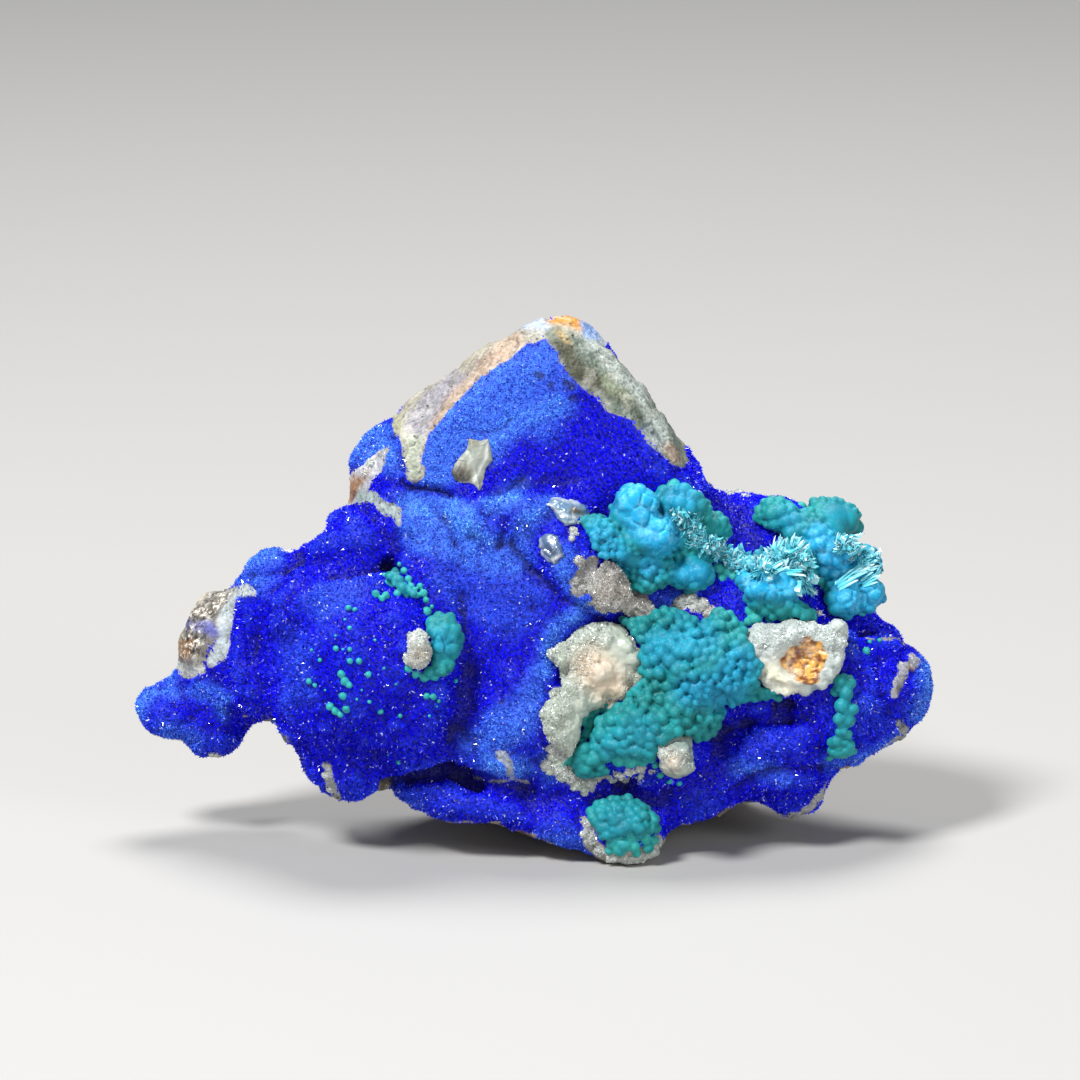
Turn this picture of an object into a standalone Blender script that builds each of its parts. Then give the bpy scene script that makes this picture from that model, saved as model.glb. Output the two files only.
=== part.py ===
"""A mineral specimen: a lump of pale rock under a blue azurite druse, with rosasite, calcite and clear blades on it.

The front is laid out on a sheet that leans back with the eye that looks down on it: every place is given in
millimetres across the sheet and up it, and as a depth into the rock. The ground is at height zero.
"""

import math
import random

import bmesh
import bpy
from mathutils import Matrix, Vector, noise

MM = 0.001
EYE_ANGLE = math.radians(14)  # how far the layout sheet leans back
FOOT_DEPTH = -16  # mm, where the front foot meets both the ground and the sheet's lower edge
MIDDLE = (-0.04, -2.07, 0)  # mm, where the middle of the finished specimen falls on the layout
SEAM = 0.36 * MM  # the gap that a growth keeps to what it sits on

# The rock ------------------------------------------------------------------------------------------------------

ROCK_COLOUR = (0.010, 0.035, 0.62, 1)
ROCK_TRIANGLES = 3800
ROCK_VOXEL = 0.8 * MM
ROUGHNESS_SWELLS = (  # size of a swell and its height, mm
    (12.0, 1.3),
    (5.0, 0.7),
    (2.4, 0.25),
)

# Swells of the rock: across, up, depth, then half its width, depth and height, and its lean to the right in degrees.
ROCK_SWELLS = {
    "core": (1, 29, 5, 21, 17, 17, 0),
    "core_right": (22, 27, 4, 19, 16, 14, 0),
    "core_back": (5, 31, 12, 27, 10, 18, 0),
    "left_boss": (-19.5, 25, -8, 10.2, 11.5, 12, -10),
    "left_boss_cheek": (-14.5, 21, -10, 7.4, 8.5, 8.5, 0),
    "left_boss_side": (-26, 20, -7, 6, 8.5, 8, -20),
    "left_boss_foot": (-22.6, 12.8, -7, 6.0, 7, 5.6, -25),
    "left_boss_toe": (-13.5, 16.5, -9, 6.6, 7, 5.6, 0),
    "left_boss_crown": (-20.5, 33.5, -8, 6.4, 6, 3.6, 4),
    "upper_left_lobe": (-21.2, 38.7, -3, 6.6, 7, 4.3, -24),
    "upper_left_bud": (-25.0, 36.4, -4, 3.6, 4.5, 3.2, 0),
    "neck_lobe_a": (-14.5, 41.6, -4, 5.0, 6, 3.4, -4),
    "neck_lobe_b": (-8, 42.4, -5, 5.2, 6, 3.2, 6),
    "neck_lobe_c": (-2.2, 41.6, -6, 3.6, 5.4, 3.6, 0),
    "neck_lobe_d": (2.8, 43.0, -5, 4.6, 5.2, 3.4, 0),
    "left_shoulder": (-30.0, 31.5, -2, 7, 9, 5.8, -30),
    "left_knuckle": (-31, 34.8, -3, 4.2, 4.6, 3.5, 0),
    "left_shoulder_bud": (-26.2, 31.5, -7, 4.4, 5, 4.6, 0),
    "left_middle": (-31, 24.5, 0, 8.5, 10.5, 8.0, 0),
    "left_end": (-38.6, 26.6, 2, 5.5, 8, 6.6, 18),
    "left_end_root": (-38, 21.5, 1, 5.6, 8, 5.4, 0),
    "left_horn": (-42.7, 18.6, 0, 5.8, 5.5, 3.5, 12),
    "left_horn_toe": (-39.0, 15.4, -1, 3.7, 4.6, 3.0, 0),
    "middle_slope": (-3, 33, -2, 11, 9, 11, 0),
    "middle_slope_foot": (-6, 25, -5, 7, 7, 9, 20),
    "middle_lobe": (-1.2, 18.6, -10, 7.2, 7.4, 8.6, 18),
    "middle_lobe_lip": (-4.2, 13.6, -11, 5.6, 5.6, 2.8, 12),
    "middle_lobe_chin": (1.6, 12.6, -11, 4.2, 5.4, 2.6, 0),
    "upper_lobe": (3.2, 37.6, -7, 5.4, 6.5, 5.4, -30),
    "upper_lobe_low": (6.0, 33.2, -7, 5.6, 6.5, 4.6, 25),
    "under_crust": (15, 22.5, -6, 11, 8, 9.5, 0),
    "under_boss": (29, 26, -4, 9, 8, 7, 0),
    "shelf": (-3.5, 8.5, -6, 14.5, 10, 3.1, 9),
    "shelf_middle": (4.0, 6.2, -8, 10, 9, 3.8, 8),
    "shelf_right": (18.6, 9.2, -5, 8.6, 10, 4.6, -18),
    "crust_root": (13, 14.5, -8, 9.5, 8.5, 5.5, 0),
    "sill": (4.5, 10.8, -9, 6, 6, 3.2, 10),
    "foot": (11, 4.2, -11, 5.2, 6, 4.6, 0),
    "right_low": (27, 14, -3, 11, 9.5, 6.6, -6),
    "right_middle": (36.6, 20, -2, 9, 9.5, 8.6, 0),
    "right_brow": (39.6, 25.2, 1, 5.8, 7.5, 4.6, 30),
    "right_end": (43.1, 20.6, 0, 4.9, 7.6, 5.6, 0),
    "right_chin": (40.6, 17.2, -3, 5, 6.6, 4.6, -25),
    "right_toe": (31.2, 9.6, -4, 4.0, 5.6, 3.9, 0),
    "right_toe_tip": (33.4, 9.6, -3, 2.6, 4.6, 2.6, -30),
    "right_top": (27.5, 37, 5, 9.6, 9, 7.6, 0),
    "saddle": (18, 39.6, 4, 9, 10, 5.6, 0),
}

# The peak is a slab with broken edges: across, up and depth of the corners of its front face, rim and back.
PEAK_FACE = (
    (-18, 44, -8),
    (-14, 51, -6),
    (-5, 59, -3),
    (1.5, 62.6, -1.5),
    (9, 56.5, -3),
    (14, 51, -4),
    (19, 45, -5),
    (19, 36, -7),
    (-16, 36, -9),
)
PEAK_RIM = (
    (-24, 42, 1),
    (-22.6, 50.2, 2),
    (-15.9, 56.2, 3),
    (-4, 63.2, 4),
    (1.6, 66.4, 4),
    (4.4, 66.9, 4.5),
    (7.6, 65.0, 5),
    (9.2, 61.8, 5),
    (13.4, 54.8, 5),
    (17.2, 49.4, 5),
    (22, 44.6, 5),
)
PEAK_BACK = (
    (-19, 44, 16),
    (-12, 55, 16),
    (2, 62, 13),
    (6, 62, 13),
    (16, 48, 18),
    (16, 34, 20),
    (-17, 34, 20),
)

# The slope below the peak is a second, flatter slab, listed in the same way.
SLOPE_FRONT = (
    (-16, 37, -11.5),
    (-8, 44, -9.5),
    (4, 44, -9.5),
    (9, 36.5, -11),
    (3, 26, -14),
    (-7, 17, -15),
    (-13, 12.5, -13.5),
    (-17, 27, -13.5),
)
SLOPE_BACK = (
    (-16, 37, 0),
    (4, 44, 0),
    (9, 36, 0),
    (3, 20, 0),
    (-13, 18, 0),
)

# The base it stands on, in plain millimetres: across, back and height of its corners, the lowest well under ground.
BASE = (
    (-14, 15.4, -3),
    (-8, 12, -3),
    (-3, 7.4, -3),
    (3, 4.8, -3),
    (12, 3.2, -3),
    (18, 7, -3),
    (23, 13, -3),
    (21, 17, -3),
    (8, 19, -3),
    (-8, 18, -3),
    (-19, 10, 14),
    (-12, 1, 14),
    (4, -5, 14),
    (16, -5, 14),
    (29, 2, 14),
    (32, 12, 15),
    (24, 19, 15),
    (6, 20.5, 15),
    (-12, 17, 15),
)

# The broken faces of its back: a point in plain millimetres, and the way the face looks.
BROKEN_FACES = (
    ((2, 17.5, 30), (0.08, 1, 0.12)),
    ((30, 13, 30), (0.55, 0.8, 0.05)),
    ((-14, 14.5, 35), (-0.42, 0.88, 0.1)),
    ((2, 13, 52), (0.05, 0.86, 0.5)),
    ((-38, 6.4, 22), (-0.12, 1, -0.1)),
    ((8, 18.2, 6), (0.05, 0.95, -0.3)),
)

# Hollows cut back into the rock, listed as the swells are.
ROCK_HOLLOWS = {
    "wing_gap": (-32.2, 8.2, 0, 3.4, 30, 6.6, 0),
    "peak_slot": (-17.5, 44.9, -12, 3.6, 8, 0.9, -2),
    "shelf_hole": (7.5, 10.6, -16, 3.0, 6, 1.2, 0),
}

# The growths ---------------------------------------------------------------------------------------------------
# Swells are listed as the rock's are. Knobs (or blocks) of the sizes given are scattered over the swells named in
# "knobby"; the other swells stay smooth.

TEAL = (0.03, 0.36, 0.32, 1)
CALCITE_COLOUR = (0.60, 0.55, 0.46, 1)
CLEAR_COLOUR = (0.75, 0.85, 0.88, 1)

CALCITES = {
    "hollow_boss": {
        "swells": {
            "body": (31.2, 25.0, -10.8, 6.2, 3.6, 4.5, 0),
            "left_lip": (27.6, 26.4, -11.0, 3.4, 2.8, 2.8, 0),
            "ear": (36.5, 28.2, -8.4, 1.5, 2.0, 1.7, 0),
        },
        "knobby": ("body", "left_lip"),
        "grains": 46,
        "grain": (0.5, 1.0),
        "blocky": True,
        "hollow": (32.3, 24.7, -14.8, 3.8, 2.7, 3.1, -10),
        "triangles": 380,
    },
    "pale_calcite": {
        "swells": {
            "body": (7.6, 24.0, -11.4, 6.0, 3.6, 5.4, 10),
            "tooth": (3.2, 25.5, -13.0, 2.6, 2.0, 1.7, -12),
            "neck": (4.6, 20.6, -13.0, 3.0, 3.2, 3.0, 0),
            "lower_left": (2.7, 17.4, -15.0, 2.7, 2.8, 3.9, -12),
            "bits": (4.8, 11.0, -13.6, 3.2, 2.2, 2.1, 0),
        },
        "knobby": ("body", "neck", "lower_left", "bits"),
        "grains": 70,
        "grain": (0.5, 1.1),
        "blocky": True,
        "triangles": 400,
    },
    "calcite_stub": {
        "swells": {
            "body": (16.9, 12.8, -16.8, 2.3, 2.6, 2.5, -8),
            "root": (17.0, 14.6, -15.2, 2.2, 2.2, 2.0, 0),
        },
        "knobby": (),
        "grains": 0,
        "grain": (0.5, 1.0),
        "blocky": True,
        "triangles": 130,
    },
    "left_calcite": {
        "swells": {
            "body": (-14.2, 25.8, -17.9, 2.1, 2.1, 2.9, 0),
        },
        "knobby": ("body",),
        "grains": 8,
        "grain": (0.4, 0.7),
        "blocky": True,
        "triangles": 130,
    },
    "upper_calcite": {
        "swells": {
            "body": (8.9, 33.2, -11.6, 4.6, 2.4, 3.2, -20),
            "tip": (12.6, 31.0, -10.2, 2.4, 1.9, 1.6, 0),
        },
        "knobby": ("body",),
        "grains": 24,
        "grain": (0.5, 1.0),
        "blocky": True,
        "triangles": 230,
    },
}

ROSASITES = {
    "lower_rosasite": {
        "swells": {
            "upper_lobe": (15.4, 28.4, -10.8, 5.2, 2.4, 2.8, 10),
            "main": (19.2, 23.8, -11.8, 8.0, 4.9, 5.0, 12),
            "main_right": (24.6, 24.8, -11.6, 4.2, 3.2, 4.0, 0),
            "waist": (16.4, 19.6, -13.6, 5.8, 3.6, 3.4, 0),
            "tongue": (26.2, 21.3, -11.2, 4.6, 1.9, 1.7, 0),
            "lower": (13.4, 16.2, -14.6, 6.6, 3.4, 4.1, -12),
            "lower_left": (6.6, 12.8, -13.8, 2.8, 2.2, 2.2, 20),
            "lower_right": (19.6, 18.0, -13.0, 3.0, 2.8, 2.8, 0),
            "behind": (22.4, 29.1, -10.8, 1.8, 2.2, 1.9, 0),
        },
        "knobby": ("upper_lobe", "main", "main_right", "waist", "tongue", "lower", "lower_left", "lower_right"),
        "grains": 120,
        "grain": (0.65, 1.0),
        "blocky": False,
        "triangles": 520,
    },
    "upper_rosasite": {
        "swells": {
            "dome": (11.9, 43.3, -7.6, 2.9, 3.6, 2.7, 0),
            "dome_low": (13.9, 39.4, -8.2, 3.2, 3.6, 2.9, 0),
            "skirt": (8.2, 38.0, -9.4, 4.6, 2.8, 3.5, 25),
            "crust": (12.8, 35.2, -8.2, 4.2, 2.8, 2.4, 0),
            "right": (17.8, 43.0, -5.4, 3.4, 2.8, 2.4, 12),
            "bridge": (18.4, 38.8, -5.4, 3.2, 2.6, 3.4, 0),
            "tail": (21.6, 40.6, -3.4, 2.1, 1.9, 1.5, 30),
            "lower_knob": (19.1, 34.9, -7.0, 2.7, 2.9, 2.3, 0),
        },
        "knobby": ("skirt", "crust", "right", "tail", "bridge"),
        "grains": 64,
        "grain": (0.65, 1.05),
        "blocky": False,
        "triangles": 520,
    },
    "middle_rosasite": {
        "swells": {
            "knob": (27.9, 33.5, -7.6, 4.0, 3.8, 2.7, 0),
            "pad": (30.6, 35.6, -5.0, 3.4, 2.8, 3.0, 0),
            "row": (29.6, 30.5, -8.8, 4.4, 1.7, 1.6, 10),
        },
        "knobby": ("row", "pad"),
        "grains": 22,
        "grain": (0.6, 0.95),
        "blocky": False,
        "triangles": 270,
    },
    "right_rosasite": {
        "swells": {
            "top_left": (29.2, 42.0, 0.2, 2.5, 2.6, 2.2, 0),
            "field": (34.4, 38.8, -0.2, 4.8, 4.6, 3.5, 25),
            "back": (36.4, 41.8, 2.4, 3.6, 2.6, 2.2, 15),
            "ledge": (38.9, 36.4, 0.4, 3.3, 3.2, 2.4, 0),
            "knob_a": (36.8, 32.0, -3.2, 2.6, 3.0, 2.7, 0),
            "knob_b": (40.3, 32.8, -2.0, 2.1, 2.6, 2.4, 0),
            "root": (37.6, 35.0, 0.6, 3.0, 3.4, 3.6, 0),
        },
        "knobby": ("top_left", "field", "back"),
        "grains": 52,
        "grain": (0.65, 1.05),
        "blocky": False,
        "triangles": 380,
    },
    "foot_rosasite": {
        "swells": {
            "body": (10.6, 5.2, -15.4, 4.3, 2.6, 3.0, 12),
        },
        "knobby": ("body",),
        "grains": 26,
        "grain": (0.6, 0.95),
        "blocky": False,
        "triangles": 260,
    },
    "left_rosasite": {
        "swells": {
            "body": (-11.0, 27.4, -14.6, 2.6, 3.2, 3.1, 0),
            "rim": (-12.6, 23.7, -16.8, 2.9, 1.4, 1.1, -4),
        },
        "knobby": ("rim",),
        "grains": 10,
        "grain": (0.45, 0.7),
        "blocky": False,
        "triangles": 200,
    },
    "strip_rosasite": {
        "swells": {
            "top": (37.1, 21.4, -10.6, 1.5, 1.5, 1.5, 0),
            "middle": (37.0, 18.2, -11.4, 1.3, 1.4, 2.6, 10),
            "low": (36.8, 14.6, -10.4, 2.0, 1.6, 1.9, 0),
        },
        "knobby": ("top", "middle", "low"),
        "grains": 18,
        "grain": (0.5, 0.8),
        "blocky": False,
        "triangles": 260,
    },
    "sprig_rosasite": {
        "swells": {
            "top": (-16.9, 34.2, -12.6, 1.0, 1.1, 1.1, 0),
            "middle": (-16.1, 33.2, -13.2, 1.2, 1.1, 1.0, 30),
            "end": (-15.0, 32.6, -13.8, 1.1, 1.0, 0.8, 20),
        },
        "knobby": ("top", "middle", "end"),
        "grains": 12,
        "grain": (0.4, 0.6),
        "blocky": False,
        "triangles": 170,
    },
}

# Sprays of flat clear blades: where a spray's middle is rooted, how wide it spreads, and its blades' number and
# length. Each stands on a thin pad of its own.
SPRAYS = {
    "upper_blades": {"root": (20.4, 39.4, -7.2), "spread": (3.0, 2.4), "blades": 9, "length": (2.2, 3.4)},
    "middle_blades": {"root": (30.4, 35.8, -7.2), "spread": (3.0, 2.6), "blades": 9, "length": (2.6, 4.0)},
    "right_blades": {"root": (39.6, 36.4, -2.6), "spread": (2.4, 1.4), "blades": 6, "length": (1.8, 2.8)},
}
BLADE_WIDTH = (1.2, 2.2)
BLADE_THICKNESS = 0.5

# Blunt clear crystals set in the rock: centre, half sizes and turn.
BLOCKS = {
    "window_crystal": (-7.0, 48.4, -5.6, 2.1, 1.9, 2.4, 25),
    "clear_crystal_upper": (4.5, 42.4, -9.4, 2.1, 1.8, 1.5, 10),
    "clear_crystal_lower": (1.7, 37.6, -12.4, 1.3, 1.6, 1.7, -15),
}

SEED = 7
GROWTH_VOXEL = 0.4 * MM
FRONT_LEAST = 0.05  # grains sit only where a growth looks at least this much at the eye
GRAIN_TRIES = 30
GRAIN_SPACING = 1.35  # least distance between grains, in grain radii
GRAIN_SINK = 0.35  # how deep a grain sits, in its radii
BLOCK_SHARE = 0.75
BLOCK_BEVEL = 0.45
BLADE_ROOT = 0.35
BLADE_TAPER = 0.8
BLADE_SHOULDER = 0.78
BLADE_POINT = 0.25
BLADE_SPREAD = 0.8
FAN = 0.9
GOLDEN_TURN = math.radians(137.5)
PAD_SINK = 0.4
PAD_DEPTH = 1.0


def seat(across, up, depth):
    """The place in metres of a point given in millimetres on the layout sheet."""
    height = (up - (depth - FOOT_DEPTH) * math.sin(EYE_ANGLE)) / math.cos(EYE_ANGLE)
    return Vector((across, depth, height)) * MM


def add_swell(bm, across, up, depth, half_width, half_depth, half_height, lean, subdivisions=4):
    """Adds one ellipsoid."""
    place = (
        Matrix.Translation(seat(across, up, depth))
        @ Matrix.Rotation(math.radians(lean), 4, "Y")
        @ Matrix.Diagonal((half_width * MM, half_depth * MM, half_height * MM, 1))
    )
    bmesh.ops.create_icosphere(bm, subdivisions=subdivisions, radius=1, matrix=place)


def add_hull(bm, places):
    """Adds the closed convex block that the places span."""
    points = [bm.verts.new(place) for place in places]
    bmesh.ops.convex_hull(bm, input=points, use_existing_faces=False)


def object_from(name, bm, colour=ROCK_COLOUR, roughness=0.6):
    """Links a bmesh to the scene as an object with its own material."""
    mesh = bpy.data.meshes.new(name)
    bmesh.ops.recalc_face_normals(bm, faces=bm.faces)
    bm.to_mesh(mesh)
    bm.free()
    made = bpy.data.objects.new(name, mesh)
    bpy.context.scene.collection.objects.link(made)
    material = bpy.data.materials.new(name)
    material.use_nodes = True
    shader = material.node_tree.nodes["Principled BSDF"]
    shader.inputs["Base Color"].default_value = colour
    shader.inputs["Roughness"].default_value = roughness
    mesh.materials.append(material)
    return made


def bake_modifiers(made):
    """Turns an object's modifiers into its mesh."""
    graph = bpy.context.evaluated_depsgraph_get()
    shaped = bpy.data.meshes.new_from_object(made.evaluated_get(graph))
    made.modifiers.clear()
    made.data = shaped


def fuse(made, voxel, smoothing=0):
    """Fuses the overlapping solids of an object into one skin."""
    remesh = made.modifiers.new("Fuse", "REMESH")
    remesh.mode = "VOXEL"
    remesh.voxel_size = voxel
    if smoothing:
        smooth = made.modifiers.new("Ease", "SMOOTH")
        smooth.iterations = smoothing
    bake_modifiers(made)


def thin_to(made, triangles):
    """Leaves about this many triangles."""
    count = sum(len(face.vertices) - 2 for face in made.data.polygons)
    decimate = made.modifiers.new("Thin", "DECIMATE")
    decimate.ratio = min(1, triangles / count)
    bake_modifiers(made)


def cut_away(made, cutter, solver="EXACT"):
    """Takes the cutter out of an object and drops the cutter."""
    boolean = made.modifiers.new("Cut", "BOOLEAN")
    boolean.operation = "DIFFERENCE"
    boolean.object = cutter
    boolean.solver = solver
    bake_modifiers(made)
    bpy.data.objects.remove(cutter)


def roughen(made):
    """Pushes the skin in and out in swells of a few sizes, as broken and crusted rock has."""
    bm = bmesh.new()
    bm.from_mesh(made.data)
    bm.normal_update()
    for vert in bm.verts:
        for size, height in ROUGHNESS_SWELLS:
            push = noise.noise(vert.co / (size * MM)) * height * MM
            vert.co += vert.normal * push
    bm.to_mesh(made.data)
    bm.free()


def cut_off(made, point, outward):
    """Cuts off what lies outward of a plane, and closes the cut."""
    bm = bmesh.new()
    bm.from_mesh(made.data)
    everything = bm.verts[:] + bm.edges[:] + bm.faces[:]
    cut = bmesh.ops.bisect_plane(
        bm, geom=everything, dist=1e-6, plane_co=point, plane_no=outward, clear_outer=True
    )
    rim = [item for item in cut["geom_cut"] if isinstance(item, bmesh.types.BMEdge)]
    bmesh.ops.holes_fill(bm, edges=rim)
    bmesh.ops.recalc_face_normals(bm, faces=bm.faces)
    bm.to_mesh(made.data)
    bm.free()


def build_rock():
    bm = bmesh.new()
    for swell in ROCK_SWELLS.values():
        add_swell(bm, *swell)
    add_hull(bm, [seat(*corner) for corner in PEAK_FACE + PEAK_RIM + PEAK_BACK])
    add_hull(bm, [seat(*corner) for corner in SLOPE_FRONT + SLOPE_BACK])
    add_hull(bm, [Vector(corner) * MM for corner in BASE])
    rock = object_from("azurite_rock", bm)
    fuse(rock, ROCK_VOXEL, smoothing=2)
    for point, outward in BROKEN_FACES:
        cut_off(rock, Vector(point) * MM, Vector(outward))

    bm = bmesh.new()
    for hollow in ROCK_HOLLOWS.values():
        add_swell(bm, *hollow, subdivisions=3)
    cut_away(rock, object_from("hollows", bm))
    fuse(rock, ROCK_VOXEL, smoothing=1)

    roughen(rock)
    thin_to(rock, ROCK_TRIANGLES)
    cut_off(rock, (0, 0, 0), (0, 0, -1))
    return rock


def skin_of(solid, clearance):
    """A copy of a solid that stands proud of it by the clearance."""
    bm = bmesh.new()
    bm.from_mesh(solid.data)
    bm.normal_update()
    shifts = [vert.normal * clearance * vert.calc_shell_factor() for vert in bm.verts]
    for vert, shift in zip(bm.verts, shifts):
        vert.co += shift
    return object_from(solid.name + "_skin", bm)


def keep_main_body(made):
    """Drops every loose fragment but the largest piece."""
    bm = bmesh.new()
    bm.from_mesh(made.data)
    bmesh.ops.triangulate(bm, faces=bm.faces)
    unseen = set(bm.faces)
    pieces = []
    while unseen:
        piece = [unseen.pop()]
        for face in piece:
            plain_edges = [edge for edge in face.edges if len(edge.link_faces) == 2]
            for other in (other for edge in plain_edges for other in edge.link_faces):
                if other in unseen:
                    unseen.remove(other)
                    piece.append(other)
        pieces.append(piece)
    pieces.sort(key=len)
    for piece in pieces[:-1]:
        bmesh.ops.delete(bm, geom=piece, context="FACES")
    bm.to_mesh(made.data)
    bm.free()


def fit_to(made, neighbours):
    """Cuts a growth back from what it sits on and what it meets."""
    for solid in neighbours:
        if meets(made, solid):
            cut_away(made, skin_of(solid, SEAM), solver="MANIFOLD")
    keep_main_body(made)


def meets(made, solid):
    """Whether the boxes of two objects come within a seam of each other."""
    low, high = box_of(made)
    other_low, other_high = box_of(solid)
    return all(
        low[axis] - SEAM < other_high[axis] and other_low[axis] - SEAM < high[axis] for axis in range(3)
    )


def box_of(made):
    """The lowest and highest corner of an object."""
    corners = [vert.co for vert in made.data.vertices]
    low = [min(co[axis] for co in corners) for axis in range(3)]
    high = [max(co[axis] for co in corners) for axis in range(3)]
    return low, high


def towards_eye(normal):
    """How far a face looks at the eye: 1 when it faces it."""
    return -normal.y * math.cos(EYE_ANGLE) + normal.z * math.sin(EYE_ANGLE)


def scatter_on(swell, draw):
    """A random point on the front of a swell, and the way it faces."""
    across, up, depth, half_width, half_depth, half_height, lean = swell
    turn = Matrix.Rotation(math.radians(lean), 3, "Y")
    while True:
        ball = Vector((draw.gauss(0, 1), draw.gauss(0, 1), draw.gauss(0, 1))).normalized()
        normal = (turn @ Vector((ball.x / half_width, ball.y / half_depth, ball.z / half_height))).normalized()
        if towards_eye(normal) > FRONT_LEAST:
            reach = turn @ Vector((ball.x * half_width, ball.y * half_depth, ball.z * half_height))
            return seat(across, up, depth) + reach * MM, normal


def add_grain(bm, place, normal, size, blocky, draw):
    """Adds one knob, or one block turned at random."""
    if blocky:
        turn = Matrix.Rotation(draw.uniform(0, math.tau), 4, normal) @ normal.to_track_quat("Z", "X").to_matrix().to_4x4()
        bmesh.ops.create_cube(bm, size=2 * size * BLOCK_SHARE, matrix=Matrix.Translation(place) @ turn)
    else:
        bmesh.ops.create_icosphere(bm, subdivisions=2, radius=size, matrix=Matrix.Translation(place))


def build_growth(name, plan, colour, neighbours, draw):
    """A crusted growth: swells, with knobs or blocks over them, fused and fitted to its neighbours."""
    bm = bmesh.new()
    for swell in plan["swells"].values():
        add_swell(bm, *swell, subdivisions=3)
    places = []
    tries = 0
    while len(places) < plan["grains"] and tries < plan["grains"] * GRAIN_TRIES:
        tries += 1
        swell = plan["swells"][draw.choice(plan["knobby"])]
        place, normal = scatter_on(swell, draw)
        size = draw.uniform(*plan["grain"]) * MM
        if all((place - other).length > size * GRAIN_SPACING for other in places):
            places.append(place)
            add_grain(bm, place - normal * size * GRAIN_SINK, normal, size, plan["blocky"], draw)
    growth = object_from(name, bm, colour)
    fuse(growth, GROWTH_VOXEL, smoothing=1)
    if "hollow" in plan:
        bm = bmesh.new()
        add_swell(bm, *plan["hollow"], subdivisions=3)
        cut_away(growth, object_from("hollow", bm))
        fuse(growth, GROWTH_VOXEL)
    thin_to(growth, plan["triangles"])
    fit_to(growth, neighbours)
    return growth


def add_blade(bm, root, way, side, length, width):
    """Adds a flat crystal with a chisel point, from its root along way, as wide as side runs."""
    thick = way.cross(side).normalized() * BLADE_THICKNESS * MM
    half = side * width / 2
    outline = (
        root - way * length * BLADE_ROOT - half * BLADE_TAPER,
        root - way * length * BLADE_ROOT + half * BLADE_TAPER,
        root + way * length * BLADE_SHOULDER + half,
        root + way * length + half * BLADE_POINT,
        root + way * length * BLADE_SHOULDER - half,
    )
    face = bm.faces.new([bm.verts.new(point - thick / 2) for point in outline])
    raised = bmesh.ops.extrude_face_region(bm, geom=[face])
    moved = [item for item in raised["geom"] if isinstance(item, bmesh.types.BMVert)]
    bmesh.ops.translate(bm, verts=moved, vec=thick)


def build_spray(name, plan, neighbours, draw):
    """A fan of clear blades joined at a thin pad."""
    across, up, depth = plan["root"]
    spread_across, spread_up = plan["spread"]
    outward = Vector((0, -math.cos(EYE_ANGLE), math.sin(EYE_ANGLE)))
    pad_bm = bmesh.new()
    add_swell(pad_bm, across, up, depth + PAD_SINK, spread_across, PAD_DEPTH, spread_up, 0, subdivisions=2)
    spray = object_from(name, pad_bm, CLEAR_COLOUR, 0.1)
    for step in range(plan["blades"]):
        turn = step * GOLDEN_TURN
        out = math.sqrt((step + 0.5) / plan["blades"]) * BLADE_SPREAD
        sideways = Vector((math.cos(turn) * out, 0, math.sin(turn) * out))
        root = seat(across + sideways.x * spread_across, up + sideways.z * spread_up, depth)
        way = (outward + sideways * FAN + Vector((draw.gauss(0, 0.25), 0, draw.gauss(0, 0.25)))).normalized()
        side = way.cross(Vector((draw.gauss(0, 1), draw.gauss(0, 1), draw.gauss(0, 1)))).normalized()
        bm = bmesh.new()
        add_blade(bm, root, way, side, draw.uniform(*plan["length"]) * MM, draw.uniform(*BLADE_WIDTH) * MM)
        join_to(spray, object_from("blade", bm))
    fit_to(spray, neighbours)
    return spray


def join_to(made, addition):
    """Joins another closed solid to an object and drops it."""
    boolean = made.modifiers.new("Join", "BOOLEAN")
    boolean.operation = "UNION"
    boolean.object = addition
    bake_modifiers(made)
    bpy.data.objects.remove(addition)


def build_block(name, plan, neighbours):
    """A blunt crystal: a block with its corners and edges broken by faces."""
    across, up, depth, half_width, half_depth, half_height, turn = plan
    place = (
        Matrix.Translation(seat(across, up, depth))
        @ Matrix.Rotation(math.radians(turn), 4, "Y")
        @ Matrix.Rotation(-EYE_ANGLE, 4, "X")
        @ Matrix.Diagonal((half_width * MM, half_depth * MM, half_height * MM, 1))
    )
    bm = bmesh.new()
    bmesh.ops.create_cube(bm, size=2)
    bmesh.ops.bevel(
        bm, geom=bm.edges[:], offset=BLOCK_BEVEL, affect="EDGES", segments=1, profile=0.5, material=-1
    )
    bmesh.ops.transform(bm, matrix=place, verts=bm.verts)
    block = object_from(name, bm, CLEAR_COLOUR, 0.15)
    fit_to(block, neighbours)
    return block


def clear_scene():
    for old in list(bpy.data.objects):
        bpy.data.objects.remove(old)


def centre(solids):
    """Moves everything together so that the origin is on the ground under the middle of the whole."""
    for solid in solids:
        solid.data.transform(Matrix.Translation(-Vector(MIDDLE) * MM))


def build_specimen():
    draw = random.Random(SEED)
    rock = build_rock()
    solids = [rock]
    for name, plan in CALCITES.items():
        solids.append(build_growth(name, plan, CALCITE_COLOUR, solids, draw))
    for name, plan in ROSASITES.items():
        solids.append(build_growth(name, plan, TEAL, solids, draw))
    for name, plan in SPRAYS.items():
        solids.append(build_spray(name, plan, solids, draw))
    for name, plan in BLOCKS.items():
        solids.append(build_block(name, plan, solids))
    centre(solids)


clear_scene()
build_specimen()
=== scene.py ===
import math
import random

import bmesh
import bpy
import numpy as np
from mathutils import Matrix, Vector, noise
from mathutils.bvhtree import BVHTree


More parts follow.
